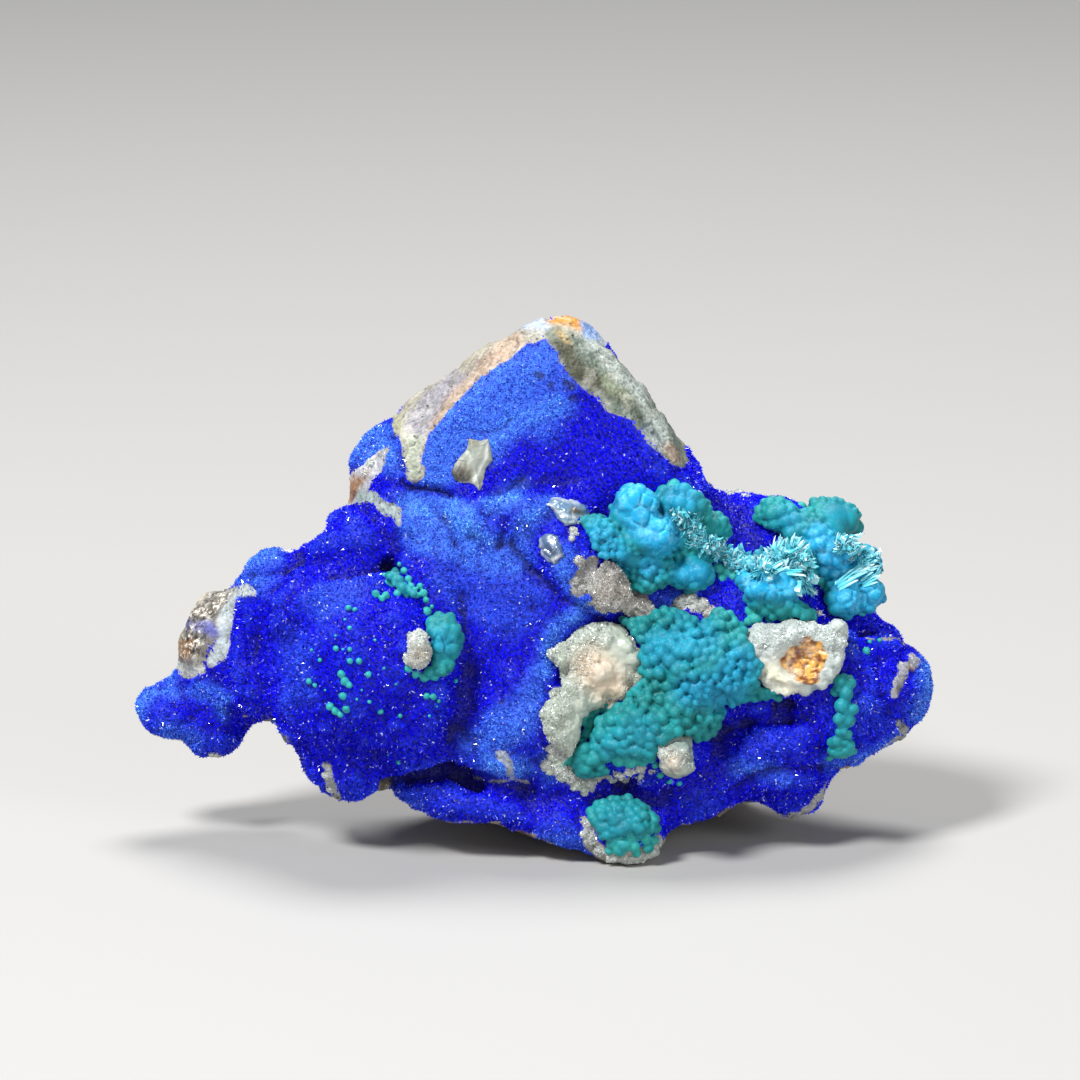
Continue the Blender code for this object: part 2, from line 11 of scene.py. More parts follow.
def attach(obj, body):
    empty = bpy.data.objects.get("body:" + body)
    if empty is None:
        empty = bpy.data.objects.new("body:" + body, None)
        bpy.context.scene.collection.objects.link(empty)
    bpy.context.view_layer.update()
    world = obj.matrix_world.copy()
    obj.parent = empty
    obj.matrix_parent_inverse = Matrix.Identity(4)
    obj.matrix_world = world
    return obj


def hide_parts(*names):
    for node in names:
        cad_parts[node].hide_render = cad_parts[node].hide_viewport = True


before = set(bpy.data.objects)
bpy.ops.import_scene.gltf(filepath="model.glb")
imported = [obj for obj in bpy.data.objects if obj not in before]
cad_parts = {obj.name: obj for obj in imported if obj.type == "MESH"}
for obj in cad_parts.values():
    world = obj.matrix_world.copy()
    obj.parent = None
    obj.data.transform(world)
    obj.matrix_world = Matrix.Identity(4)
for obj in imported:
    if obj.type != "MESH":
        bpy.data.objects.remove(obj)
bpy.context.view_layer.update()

# The eye ------------------------------------------------------------------------------------------
# A long lens looks a little down on the specimen, square to a sheet on which its front is laid out.
# A place on it is given in millimetres across the sheet and up it, and falls on whatever lies behind.

MM = 0.001
EYE_ANGLE = math.radians(14)  # below level
EYE_DISTANCE = 900  # mm from the eye to the sheet
HALF_VIEW = 64.8  # mm on the sheet from the middle of the view to its edge
SENSOR = 36.0
AIM = (0.7, 39.0)  # the middle of the view on the sheet, and in the room
TARGET = Vector((0.74, -3.93, 37.700652)) * MM

FORWARD = Vector((0, math.cos(EYE_ANGLE), -math.sin(EYE_ANGLE)))
UPWARD = Vector((0, math.sin(EYE_ANGLE), math.cos(EYE_ANGLE)))
EYE = TARGET - FORWARD * EYE_DISTANCE * MM

lens = bpy.data.cameras.new("eye")
lens.sensor_width = SENSOR
lens.lens = SENSOR / 2 / HALF_VIEW * EYE_DISTANCE
lens.clip_start = 0.01
camera = bpy.data.objects.new("eye", lens)
camera.location = EYE
camera.rotation_euler = FORWARD.to_track_quat("-Z", "Y").to_euler()
bpy.context.scene.collection.objects.link(camera)
bpy.context.scene.camera = camera

# The rock -----------------------------------------------------------------------------------------
# A lump of buff, iron-stained carbonate rock, crusted over its whole front with azurite that grew on
# it in rounded lumps. Where it broke, on the peak's rim, the left end and the back, the rock is bare.

ROCK_VOXEL = 0.42  # mm
LUMPS = ((4.6, 1.1), (2.4, 0.85), (1.1, 0.22))  # the crust's lumps: size and height, mm
FACETS = ((3.4, 0.55), (1.1, 0.22))  # the broken rock's facets: size and height, mm
FLAT_FOOT = 0.5  # mm over the ground within which the rock keeps the faces it stands on
SIGHT_SLACK = 2.0  # mm by which a place may lie behind the surface and still count as seen
LAYOUT_BACK = 2.07  # mm that the layout's middle plane lies behind the room's
CRUST_END = 4.5  # mm behind that plane at which the crust ends, give or take its wander
CRUST_WANDER = ((9.0, 3.5, 5), (3.5, 1.5, 6))  # size and reach, mm, and the seed
EDGE_WANDER = 0.55  # how far the edges of the bare and stained places wander
BARE_EDGE = 0.35  # mm on each side over which the edge of a bare place fades
STAIN_EDGE = 0.6
AZURE_EDGE = 1.3


def merged_copy(node):
    """A bmesh of a node's mesh with its corners joined."""
    bm = bmesh.new()
    bm.from_mesh(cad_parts[node].data)
    bmesh.ops.remove_doubles(bm, verts=bm.verts, dist=1e-7)
    return bm


def object_from(name, bm):
    """Links a bmesh to the scene as an object."""
    mesh = bpy.data.meshes.new(name)
    bm.to_mesh(mesh)
    bm.free()
    made = bpy.data.objects.new(name, mesh)
    bpy.context.scene.collection.objects.link(made)
    return made


def bake_modifiers(made):
    """Turns an object's modifiers into its mesh."""
    graph = bpy.context.evaluated_depsgraph_get()
    shaped = bpy.data.meshes.new_from_object(made.evaluated_get(graph))
    made.modifiers.clear()
    made.data = shaped


def fuse(made, voxel, smoothing=0, subdivisions=0):
    """Fuses an object's overlapping solids into one even skin of squares of voxel millimetres."""
    if subdivisions:
        round_off = made.modifiers.new("Round", "SUBSURF")
        round_off.levels = round_off.render_levels = subdivisions
    remesh = made.modifiers.new("Fuse", "REMESH")
    remesh.mode = "VOXEL"
    remesh.voxel_size = voxel * MM
    if smoothing:
        made.modifiers.new("Ease", "SMOOTH").iterations = smoothing
    bake_modifiers(made)


def tree_of(made):
    """A search tree of an object's faces."""
    bm = bmesh.new()
    bm.from_mesh(made.data)
    tree = BVHTree.FromBMesh(bm)
    bm.free()
    return tree


def places_of(mesh):
    """A mesh's vertices and their normals as arrays."""
    places = np.empty(len(mesh.vertices) * 3, dtype=np.float32)
    mesh.vertices.foreach_get("co", places)
    normals = np.empty(len(mesh.vertices) * 3, dtype=np.float32)
    mesh.vertex_normals.foreach_get("vector", normals)
    return places.reshape(-1, 3).astype(float), normals.reshape(-1, 3).astype(float)


def move_to(mesh, places):
    mesh.vertices.foreach_set("co", places.astype(np.float32).ravel())
    mesh.update()


def even_out(mesh, values, rounds):
    """Spreads values at the vertices over their neighbours, once a round."""
    ends = np.empty(len(mesh.edges) * 2, dtype=np.int32)
    mesh.edges.foreach_get("vertices", ends)
    one, other = ends.reshape(-1, 2).T
    count = len(values)
    number = np.maximum(np.bincount(one, minlength=count) + np.bincount(other, minlength=count), 1)
    columns = values.reshape(count, -1).T
    for _ in range(rounds):
        around = [
            np.bincount(one, each[other], count) + np.bincount(other, each[one], count) for each in columns
        ]
        columns = [(each + total / number) / 2 for each, total in zip(columns, around)]
    return np.stack(list(columns), axis=1).reshape(values.shape)


def hollowness(mesh, rounds):
    """How far each vertex lies below the evened surface, in millimetres: above nought in creases."""
    places, normals = places_of(mesh)
    return ((even_out(mesh, places, rounds) - places) * normals).sum(axis=1) / MM


def store(mesh, **attributes):
    """Keeps values at the vertices as attributes: numbers, or colours in rows of three."""
    for name, values in attributes.items():
        if values.ndim == 1:
            kept = mesh.attributes.new(name, "FLOAT", "POINT")
            kept.data.foreach_set("value", values.astype(np.float32))
        else:
            kept = mesh.attributes.new(name, "FLOAT_COLOR", "POINT")
            rows = np.ones((len(values), 4), dtype=np.float32)
            rows[:, :3] = values
            kept.data.foreach_set("color", rows.ravel())


def linear(code):
    """An sRGB hex colour in linear light."""
    parts = [int(code[i:i + 2], 16) / 255 for i in (1, 3, 5)]
    return [part / 12.92 if part <= 0.04045 else ((part + 0.055) / 1.055) ** 2.4 for part in parts]


def ramp(values, low, high):
    """0 up to low, 1 from high, and smooth between."""
    share = np.clip((values - low) / (high - low), 0, 1)
    return share * share * (3 - 2 * share)


def ripple(points, size, seed=0):
    """Smooth noise at points in metres, from -1 to 1, in swells of size millimetres; seed moves it on."""
    shift = Vector((seed * 17.3, seed * 5.1, seed * 9.7))
    scale = 1 / (size * MM)
    return np.array([noise.noise(Vector(point) * scale + shift) for point in points])


def broken(points, size, seed=0):
    """A relief of flat facets of about size millimetres, each tilted its own way, from about -1 to 1."""
    shift = Vector((6.4, 2.9 * seed, 4.4))
    tilt = np.empty(len(points))
    for index, place in enumerate(points):
        point = Vector(place) / (size * MM) + shift
        corner = noise.voronoi(point)[1][0]
        lean = noise.cell_vector(corner * 7.0) - Vector((0.5, 0.5, 0.5))
        tilt[index] = 2 * lean.dot(point - corner)
    return tilt


def seeds_near(points, size, shift=(0, 0, 0)):
    """How far points in metres are from the two nearest of seeds strewn every size millimetres, in sizes."""
    shift = Vector(shift)
    return np.array([noise.voronoi(Vector(point) / (size * MM) + shift)[0][:2] for point in points])


def on_sheet(points):
    """Where points in metres show on the sheet, as an array of across and up in millimetres."""
    from_eye = points - np.array(EYE)
    scale = EYE_DISTANCE / (from_eye @ np.array(FORWARD))
    across = AIM[0] + from_eye[:, 0] * scale
    up = AIM[1] + (from_eye @ np.array(UPWARD)) * scale
    return np.stack([across, up], axis=1)


def within(sheet, stroke, softness):
    """How far each place on the sheet is in a stroke, a line of places with its half width at each."""
    best = np.full(len(sheet), -1e9)
    steps = list(zip(stroke, stroke[1:])) or [(stroke[0], stroke[0])]
    for (x0, y0, w0), (x1, y1, w1) in steps:
        along = np.array([x1 - x0, y1 - y0])
        length = along @ along
        start = sheet - (x0, y0)
        share = np.clip(start @ along / length, 0, 1) if length else np.zeros(len(sheet))
        gap = np.hypot(*(start - share[:, None] * along).T)
        best = np.maximum(best, w0 + (w1 - w0) * share - gap)
    return ramp(best, -softness, softness)


def tint(ground, code, share):
    """Takes the colours at the vertices towards a colour, each by its share."""
    ground += (np.array(linear(code)) - ground) * share[:, None]


# Grooves and swells of the front: depth in mm, above nought for a groove, the softness of its edge
# in mm, and the stroke.
CARVED = {
    "boss_hole": (2.4, 0.45, [(-17.5, 36.6, 0.5), (-16.9, 35.6, 0.6)]),
    "peak_slot": (1, 0.5, [(-16.1, 46, 0.2), (-14.9, 45.3, 0.4), (-13.3, 45.2, 0.4), (-11.5, 44.9, 0.3),
        (-10.1, 44.5, 0.2)]),
    "neck_crease": (0.5, 0.8, [(-11.5, 45.1, 0.5), (-7.7, 44.3, 0.5), (-3.5, 45, 0.5), (-1.1, 46.4, 0.5)]),
    "peak_crease": (0.25, 0.5, [(-9.5, 52.4, 0.2), (-6.5, 51.8, 0.2), (-4.5, 52.1, 0.2),
        (-2.7, 53.4, 0.2)]),
    "boss_under": (1.8, 0.6, [(-17.9, 9.5, 0.6), (-13.7, 10.4, 0.6), (-10.1, 11.4, 0.7), (-6.5, 9.6, 0.5)]),
    "valley": (0.9, 1.6, [(-8.7, 31.8, 0.7), (-7.7, 24.6, 0.8), (-8.9, 19.2, 0.8), (-9.9, 15, 0.6)]),
    "wing_hole": (1.6, 0.45, [(39.3, 28, 0.4), (40.3, 28.4, 0.5), (40.9, 28.2, 0.4)]),
    "wing_fold": (0.7, 0.8, [(41.5, 25.2, 0.5), (42, 21, 0.6), (42.7, 18.4, 0.5)]),
    "crown_edge": (1.4, 0.9, [(-24.5, 34.8, 0.5), (-21.5, 35.2, 0.5), (-18.5, 35.9, 0.5)]),
    "shoulder_fold": (0.9, 1.4, [(-32.7, 30.6, 0.6), (-34.1, 24.6, 0.6), (-32.7, 19.8, 0.7),
        (-31.1, 17.2, 0.6)]),
    "left_fold": (0.6, 0.8, [(-29.3, 36.6, 0.5), (-30, 34.8, 0.6), (-31.7, 33, 0.6)]),
    "crust_pocket": (1, 0.6, [(29, 18.7, 0.6), (30.7, 19.2, 0.5)]),
    "lobe_edge": (0.7, 0.9, [(-2.7, 38.4, 0.5), (-0.5, 35.4, 0.5), (3.1, 31.8, 0.5), (7.9, 29.2, 0.5)]),
    "toe_gap": (0.8, 0.8, [(24.1, 9, 0.5), (26.5, 10.8, 0.5), (30.7, 11.4, 0.5), (34.3, 11.6, 0.5)]),
    "crown_lip": (-0.6, 0.8, [(-25.7, 33, 0.8), (-22.7, 33.8, 1), (-19.1, 33.8, 0.8)]),
    "rim_ledge": (-0.35, 0.45, [(-16.1, 52.2, 0.6), (-12.5, 55.8, 0.7), (-7.1, 60.4, 0.7),
        (-1.7, 63.2, 0.6)]),
    "neck_lump_a": (-0.6, 0.8, [(-1.7, 42.8, 1.1), (0.1, 42, 1.1)]),
    "neck_lump_b": (-0.5, 0.8, [(-7.7, 41.4, 1.2), (-5.3, 39.6, 1)]),
    "neck_pit_a": (0.5, 0.6, [(-3.5, 41.4, 0.5), (-4.1, 38.4, 0.5)]),
    "neck_pit_b": (0.5, 0.6, [(-10.7, 41.4, 0.5), (-9.5, 38.4, 0.4)]),
    "crown_swell": (-0.9, 1.2, [(-22.7, 41.4, 1.7), (-20.3, 39, 1.4), (-26.9, 38.4, 1.2)]),
    "crown_gap": (0.7, 0.8, [(-25.1, 43.2, 0.5), (-25.7, 40.2, 0.6), (-28.1, 36.6, 0.5)]),
    "small_lobe_gap": (0.8, 0.7, [(-28.1, 37.4, 0.5), (-29.1, 35.9, 0.5), (-31.9, 35.2, 0.5),
        (-33.9, 34.8, 0.4)]),
    "dark_hole": (1.8, 0.5, [(9.7, 9.5, 0.5), (10.9, 9.5, 0.7), (11.9, 9.7, 0.5)]),
    "crust_swell": (-0.7, 1, [(27.1, 15, 1.9), (31.9, 15.6, 1.7)]),
    "low_fold": (0.8, 1, [(21.7, 15.6, 0.6), (25.3, 16.8, 0.6), (30.7, 17.2, 0.6)]),
}
# Bare places of the front: a colour, and the stroke.
BARE = {
    "left_rim": ("#b2b0a2", [(-14.2, 46.9, 1), (-14.4, 49.2, 1.3), (-14.7, 51.5, 1.7), (-14.7, 53.4, 2.6),
        (-12.3, 55.8, 2.5), (-9.9, 58, 2.3), (-7.2, 60.4, 2.3), (-4.7, 62.3, 2), (-1.9, 63.7, 1.7),
        (1.3, 64.7, 1.4)]),
    "cap": ("#c2c2b6", [(2.1, 64.4, 1.6), (4.3, 64.4, 1.6), (6.1, 63.7, 1.2)]),
    "cap_right": ("#a9b7c4", [(6.5, 64.4, 1.1), (7.9, 62.8, 0.8)]),
    "right_rim": ("#76857a", [(2.9, 63.2, 1.4), (5.1, 61.1, 2.4), (7.8, 59.2, 3), (10.3, 57.2, 2.9),
        (12.7, 55.2, 2.4), (14.9, 52.8, 2), (16.3, 50.4, 1.7), (17.5, 48.5, 1)]),
    "flank": ("#bfc3cf", [(-18, 49.6, 0.6), (-19.2, 47.9, 1.2), (-21.4, 45.7, 1.6), (-22.6, 43.8, 1.4)]),
    "flank_strip": ("#a9bcbc", [(-20.7, 44.2, 0.8), (-18.5, 43.4, 0.8), (-16.6, 42.4, 0.8),
        (-16.1, 40.9, 0.4)]),
    "white_chip": ("#e6ebea", [(-30.4, 38.5, 0.5), (-29.3, 38.2, 0.7)]),
    "left_end_core": ("#7d7974", [(-37.5, 33, 1.4), (-39.4, 30.4, 2.4), (-40.5, 27.6, 2.6),
        (-41.3, 25.2, 1.9)]),
    "left_end_rim": ("#c4d2d9", [(-34.1, 33.2, 0.7), (-35.8, 32.8, 0.7), (-36.6, 31.2, 0.8),
        (-37, 29.2, 0.8), (-37, 27, 0.8), (-37.5, 25.3, 1), (-38.8, 24.2, 0.6)]),
    "left_end_foot": ("#ccd3cf", [(-40, 23.5, 0.5), (-41.8, 23, 0.7), (-42.9, 24.1, 0.6)]),
    "horn_chip": ("#dfe3e8", [(-40.8, 12.1, 0.4), (-39.4, 12.4, 0.5), (-38.3, 13, 0.4)]),
    "wing_under": ("#74786c", [(-33.6, 16.2, 0.6), (-31.9, 16, 1), (-30.1, 15, 0.7)]),
    "boss_foot_a": ("#93a0ae", [(-27.6, 11.4, 0.6)]),
    "boss_foot_b": ("#b3bbbf", [(-25.2, 11.9, 0.5), (-24.6, 10.2, 0.7), (-23.7, 8.3, 0.7)]),
    "boss_foot_c": ("#8fa4cc", [(-27.5, 9.7, 0.5), (-26.2, 9, 0.6)]),
    "lobe_foot_a": ("#b4c2d8", [(-4.1, 13.6, 0.5), (-3.1, 12.4, 0.6), (-2.7, 10.8, 0.5)]),
    "lobe_foot_b": ("#9fabc4", [(-7.2, 10.6, 0.2), (-4.1, 10.1, 0.2), (-0.7, 10.1, 0.2)]),
    "grey_left": ("#8b8c8c", [(6.9, 35.9, 1), (5.7, 33.7, 1.2), (5.1, 33, 0.7)]),
    "grey_right": ("#b2aaa8", [(8.1, 33.5, 1.4), (10.3, 32.3, 1.9), (12.7, 32, 1.2)]),
    "hollow_bed": ("#a8692c", [(30.2, 24.1, 0.7), (31.9, 24.5, 1.7), (33.3, 24.8, 1.4), (32.9, 23.2, 1)]),
    "cap_behind": ("#c0c4c2", [(16.5, 31.1, 0.6), (18.5, 31.6, 0.7), (20.1, 30.4, 0.7)]),
    "knob_behind": ("#b5afaa", [(21.3, 30.4, 0.7), (22.5, 29.4, 1.2), (23.3, 28.2, 1.1)]),
    "ridge_line": ("#aeb3a6", [(40.1, 27, 0.2), (41.5, 27.2, 0.2), (43.5, 27, 0.2), (44.9, 26.3, 0.2)]),
    "wing_patch": ("#b9bcc8", [(45.1, 25.1, 0.5), (45.8, 24.1, 0.5), (44.5, 23.6, 0.7), (43.9, 21.7, 0.7),
        (43.4, 20.3, 0.5)]),
    "wing_patch_low": ("#9aa3a4", [(43.7, 16.9, 0.4), (44.4, 16, 0.7)]),
    "toe_chip": ("#aeb2b4", [(35, 10.1, 0.5), (34.3, 8.3, 0.6), (32.3, 6.4, 0.5), (30.7, 5.6, 0.4)]),
    "toe_right_edge": ("#9ba0a8", [(44.5, 15.2, 0.4), (41.5, 13.6, 0.2)]),
    "shelf_spot": ("#a79c98", [(-3.1, 3.7, 0.4), (-1.5, 3.8, 0.6), (0, 3.7, 0.4)]),
    "foot_base": ("#b4b9b2", [(6.2, 5.2, 0.7), (6.9, 2.8, 1), (8.6, 1.1, 1.1), (11.5, 0.6, 1.1),
        (13.9, 1.6, 1.1), (14.7, 3, 0.7)]),
    "foot_nub": ("#a3b7d6", [(16.5, 2.8, 0.8)]),
    "speck_white_a": ("#dfe6ee", [(-15.3, 39.4, 0.2)]),
    "leaf_behind": ("#9a948c", [(15.6, 30.8, 0.4)]),
}
# Stains over the bare rock, laid on in this order: a colour, its strength, and the stroke.
STAINS = {
    "rim_outer": ("#c0b9a6", 0.8, [(-16.1, 55.1, 0.6), (-11.3, 58.9, 0.6), (-4.1, 62.3, 0.6),
        (0.7, 65.2, 0.6)]),
    "rim_grey": ("#9c9690", 0.6, [(-7.7, 59.2, 0.8), (-4.1, 61.6, 0.7), (-1.7, 63, 0.6)]),
    "rim_lilac": ("#a09eab", 0.85, [(-14.4, 52.4, 1.2), (-12, 55.6, 1.3), (-9.4, 58, 1.1)]),
    "rim_green": ("#b3b594", 0.8, [(-17.1, 53.6, 1), (-15.9, 52.2, 0.7)]),
    "rim_tan": ("#c0977a", 0.5, [(-12.5, 50.8, 0.6), (-11.8, 53.4, 0.8), (-9.5, 55.8, 1), (-7.1, 58.4, 1),
        (-4.3, 60.8, 1)]),
    "rim_tan_top": ("#cdb29a", 0.7, [(-4.1, 61.6, 1), (-1.7, 62.8, 0.7)]),
    "tongue": ("#b4beac", 0.9, [(-14.7, 50.3, 1), (-14.3, 47.4, 0.8)]),
    "rim_blue": ("#8297d6", 0.6, [(-12.7, 58.9, 0.5), (-10.6, 59.9, 0.5)]),
    "cap_blue": ("#a8bfe6", 0.9, [(-1.9, 64.7, 0.7), (0, 65, 0.8), (1.3, 64.9, 0.6)]),
    "cap_orange": ("#d8942e", 1, [(2, 65.6, 0.6), (3.8, 65.5, 0.7), (5.5, 64.8, 0.6)]),
    "cap_ochre": ("#c4a463", 0.8, [(3.3, 63.7, 0.5), (3.8, 62.4, 0.5)]),
    "cap_lobe": ("#86aceb", 1, [(6.5, 65.2, 0.8), (7.1, 63.8, 0.7)]),
    "right_dark": ("#42442f", 0.95, [(2.7, 62.2, 0.7), (4.7, 60, 1.3), (6.9, 58, 1.1), (8.7, 56.8, 0.5)]),
    "right_green": ("#9aa489", 0.8, [(8.9, 58, 1), (11.3, 55.8, 0.8)]),
    "right_deep": ("#4e5546", 0.8, [(9.7, 56.2, 0.4), (12.1, 54.2, 0.5), (13.9, 51.8, 0.4)]),
    "right_white": ("#c6d1cc", 0.75, [(6.7, 62.4, 0.7), (9.7, 59.6, 0.7), (12.2, 57, 0.7),
        (14.1, 54.1, 0.6), (15.6, 51.2, 0.6)]),
    "right_slate": ("#73858f", 0.8, [(13.3, 52.8, 0.5), (14.6, 50.8, 0.6), (15.6, 49.6, 0.5)]),
    "right_brown": ("#86552f", 1, [(16.2, 49.8, 0.4), (17, 48.7, 0.5)]),
    "flank_orange": ("#b57f45", 0.9, [(-20.4, 46.9, 0.6), (-21.6, 45.5, 0.7), (-22.3, 44, 0.5)]),
    "flank_white": ("#e3e6ee", 0.9, [(-19.5, 48.6, 0.6), (-20.9, 47.2, 0.5)]),
    "end_cream": ("#e3d8c4", 0.9, [(-40.6, 32.3, 0.7), (-42.3, 30.4, 0.6), (-43, 28.2, 0.5),
        (-43.2, 26, 0.5)]),
    "end_grey": ("#8d8880", 0.8, [(-38.3, 32, 1.2), (-40.6, 30, 1.1)]),
    "end_dark": ("#4a423b", 0.6, [(-38.7, 31.1, 0.7), (-40.6, 29.2, 0.6), (-41.3, 26.4, 0.6)]),
    "end_blue": ("#6068c8", 0.85, [(-41.3, 28.9, 0.7), (-39.1, 28.4, 0.8), (-38.2, 27.5, 0.6)]),
    "end_orange": ("#c9935a", 0.85, [(-42, 26.3, 0.6), (-41.8, 25.6, 0.5)]),
    "end_brown": ("#3c2e26", 0.9, [(-40.9, 25.8, 0.6), (-40.2, 25, 0.5)]),
    "wing_brown": ("#7c5732", 1, [(45.2, 23.6, 0.4), (45.6, 22.8, 0.5)]),
    "wing_grey": ("#5d564a", 0.8, [(44.1, 21, 0.5), (44.9, 21.7, 0.4)]),
    "shelf_brown": ("#8a5340", 1, [(-1.7, 4, 0.5), (-0.9, 3.7, 0.4)]),
    "foot_ochre": ("#b39c7c", 0.5, [(7.9, 1.6, 0.7), (11.3, 0.4, 0.6)]),
}
# Places where the azurite is lighter, a milky azure: how much, and the stroke.
AZURE = {
    "peak_left": (0.62, [(-11.8, 47.4, 2.6), (-8.7, 52.2, 3.6), (-4.1, 56.8, 4.1), (0.7, 60.4, 2.4)]),
    "peak_band": (0.75, [(-6.5, 49.6, 1.7), (-2.3, 53.4, 1.9), (2.6, 55.2, 1.7)]),
    "peak_top": (0.4, [(2.6, 58.2, 2.2), (0.7, 53.4, 2.6)]),
    "flank": (0.6, [(-20.7, 49.8, 1.9), (-18.5, 51, 1.9), (-17.1, 48.4, 1.2)]),
    "neck": (0.9, [(-15.1, 43.1, 1.4), (-12.3, 42.1, 2), (-8.7, 41.4, 2), (-7.2, 39.5, 1.6)]),
    "neck_mid": (0.6, [(-13.7, 40.2, 2.4), (-7.7, 38.4, 3.1), (-2.9, 36.6, 2.4)]),
    "neck_right": (0.85, [(-1.5, 45.5, 0.7), (-2.7, 44, 1.1), (-5.1, 42.8, 1)]),
    "slope": (0.2, [(-7.7, 35.4, 4.8), (-2.9, 31.8, 4.3)]),
    "small_lobe": (0.6, [(-35.1, 35.9, 1.2), (-33.1, 37.3, 1.3), (-31, 37.6, 1)]),
    "shoulder": (0.35, [(-35.8, 33.7, 1.4), (-32.7, 34.7, 1.4)]),
    "boss_top": (0.25, [(-25.9, 31.3, 1.8), (-21.9, 32.3, 1.4)]),
    "boss_side": (0.15, [(-29.1, 27, 1.7), (-28.1, 21, 1.9)]),
    "horn": (0.75, [(-43.7, 21.2, 0.6), (-45.9, 21, 0.7), (-47.5, 19.4, 0.8), (-47.8, 17.9, 0.5)]),
    "horn_low": (0.4, [(-44.3, 15.6, 1), (-41.3, 15, 1.2)]),
    "end_edge": (0.7, [(-43.7, 22.7, 0.6), (-44.2, 21.2, 0.6), (-43, 20.8, 0.6)]),
    "lobe": (0.5, [(-7.2, 14.5, 1.4), (-4.3, 15.7, 2.4), (-1.5, 17.9, 2.2), (0.2, 21, 1.3)]),
    "lobe_low": (0.8, [(-5.3, 12.6, 1.2), (-1.7, 11.6, 1.2)]),
    "halo": (0.85, [(0.7, 23.2, 0.8), (2.1, 25.8, 1), (2.6, 28.4, 0.8), (6.7, 31.1, 0.8),
        (10.5, 31.3, 0.7)]),
    "lobe_right": (0.7, [(1.3, 12.6, 0.7), (1.7, 10.7, 0.6)]),
    "upper_lobe": (0.62, [(-1.5, 39, 1), (-0.7, 41.9, 1.1), (1.7, 43.1, 1)]),
    "upper_lobe_low": (0.55, [(3.6, 36.6, 1.2), (3.8, 34.2, 1.1), (5.5, 31.8, 0.7)]),
    "under_cluster": (0.5, [(12.7, 30.4, 0.6), (15.7, 31.8, 0.6), (18.7, 32.8, 0.7)]),
    "streak_a": (0.95, [(-40.6, 21.7, 0.2), (-38.3, 21, 0.2), (-37, 20.2, 0.2)]),
    "streak_b": (0.9, [(-41.3, 20.9, 0.2), (-39.5, 19.9, 0.2), (-38.4, 19.1, 0.2), (-37.5, 18.1, 0.4)]),
    "shelf_a": (0.2, [(-18, 8.3, 1), (-13.7, 7.1, 0.7)]),
    "shelf_b": (0.3, [(0.7, 2.8, 1), (4.5, 2.8, 1.1), (6.7, 0.8, 1)]),
    "wing_right": (0.6, [(47, 24.1, 1), (47.5, 21, 1), (45.8, 17.9, 1)]),
    "wing_low": (0.5, [(43.9, 14.8, 0.7), (39.8, 12.8, 0.7), (35.5, 12.1, 0.7)]),
    "wing_mid": (0.1, [(39.3, 19.8, 1.4), (41.5, 17.4, 1.4)]),
    "toe_top": (0.45, [(24.2, 11.6, 0.8), (27.1, 11.2, 0.8), (29.5, 10.7, 0.7)]),
    "crust_side": (0.4, [(32.1, 25.2, 0.7), (37.9, 26.4, 0.7)]),
}
# Painted shade on shaded and pitted places of the crust: how dark, the softness of the edge in mm, and the
# stroke.
SHADED = {
    "saddle": (0.55, 1.2, [(22.1, 44, 1.1), (24.2, 41.4, 1.7), (26.4, 39, 1.2)]),
    "peak_speck_a": (1, 0.25, [(0.1, 59, 0.3), (0.8, 58.7, 0.5)]),
    "peak_speck_b": (1, 0.25, [(2, 57.6, 0.45)]),
    "peak_speck_c": (1, 0.25, [(3.7, 58, 0.4), (4.4, 57.5, 0.6)]),
    "peak_speck_d": (1, 0.25, [(4.7, 56, 0.5)]),
    "slope_speck_a": (0.8, 0.25, [(-3.9, 19.6, 0.4)]),
    "wing_speck_a": (0.9, 0.3, [(33.3, 23.6, 0.4), (34.3, 24.1, 0.2)]),
}
# The crumbling core of the broken left end, and the peak's face, which is smoother than the rest.
BROKEN_END = [(-37, 32.8, 1), (-39.1, 31.2, 1.3), (-40.8, 29.2, 1.6), (-41.1, 26.4, 1.3)]
PEAK_FACE = [(-7.7, 49.8, 7.2), (0.7, 55.8, 6.6), (9.1, 51, 6)]

rock = object_from("azurite_rock_crust", merged_copy("azurite_rock"))
fuse(rock, ROCK_VOXEL, smoothing=3, subdivisions=2)
places, normals = places_of(rock.data)
rock_tree = tree_of(rock)
rock_seen = np.zeros(len(places))
for index, place in enumerate(places):
    way = Vector(place) - EYE
    hit = rock_tree.ray_cast(EYE, way)
    rock_seen[index] = hit[3] is None or hit[3] > way.length - SIGHT_SLACK * MM
near_seen = ramp(even_out(rock.data, rock_seen, 40), 0.02, 0.25)  # the front and a little round its edges

sheet = on_sheet(places)
wander = [ripple(places, 3.0, seed) * 1.1 + ripple(places, 1.1, seed + 1) * 0.5 for seed in (1, 3)]
ragged = sheet + np.stack(wander, axis=1) * EDGE_WANDER

# The crust ends along an uneven edge where the front turns to the back, and stays off what faces down.
depth = places[:, 1] / MM - LAYOUT_BACK
crust_edge = sum((reach * ripple(places, size, seed) for size, reach, seed in CRUST_WANDER), CRUST_END)
crust = 1 - ramp(depth, crust_edge - 0.8, crust_edge + 0.8)
crust = np.maximum(crust, ramp(even_out(rock.data, rock_seen, 8), 0.1, 0.5))
crust *= ramp(normals[:, 2] + 0.2 * ripple(places, 2.5, 7), -0.97, -0.86)
crust *= 1 - ramp(ripple(places, 2.2, 8) - 0.10 * (depth + 2), 0.55, 0.75) * (1 - rock_seen)

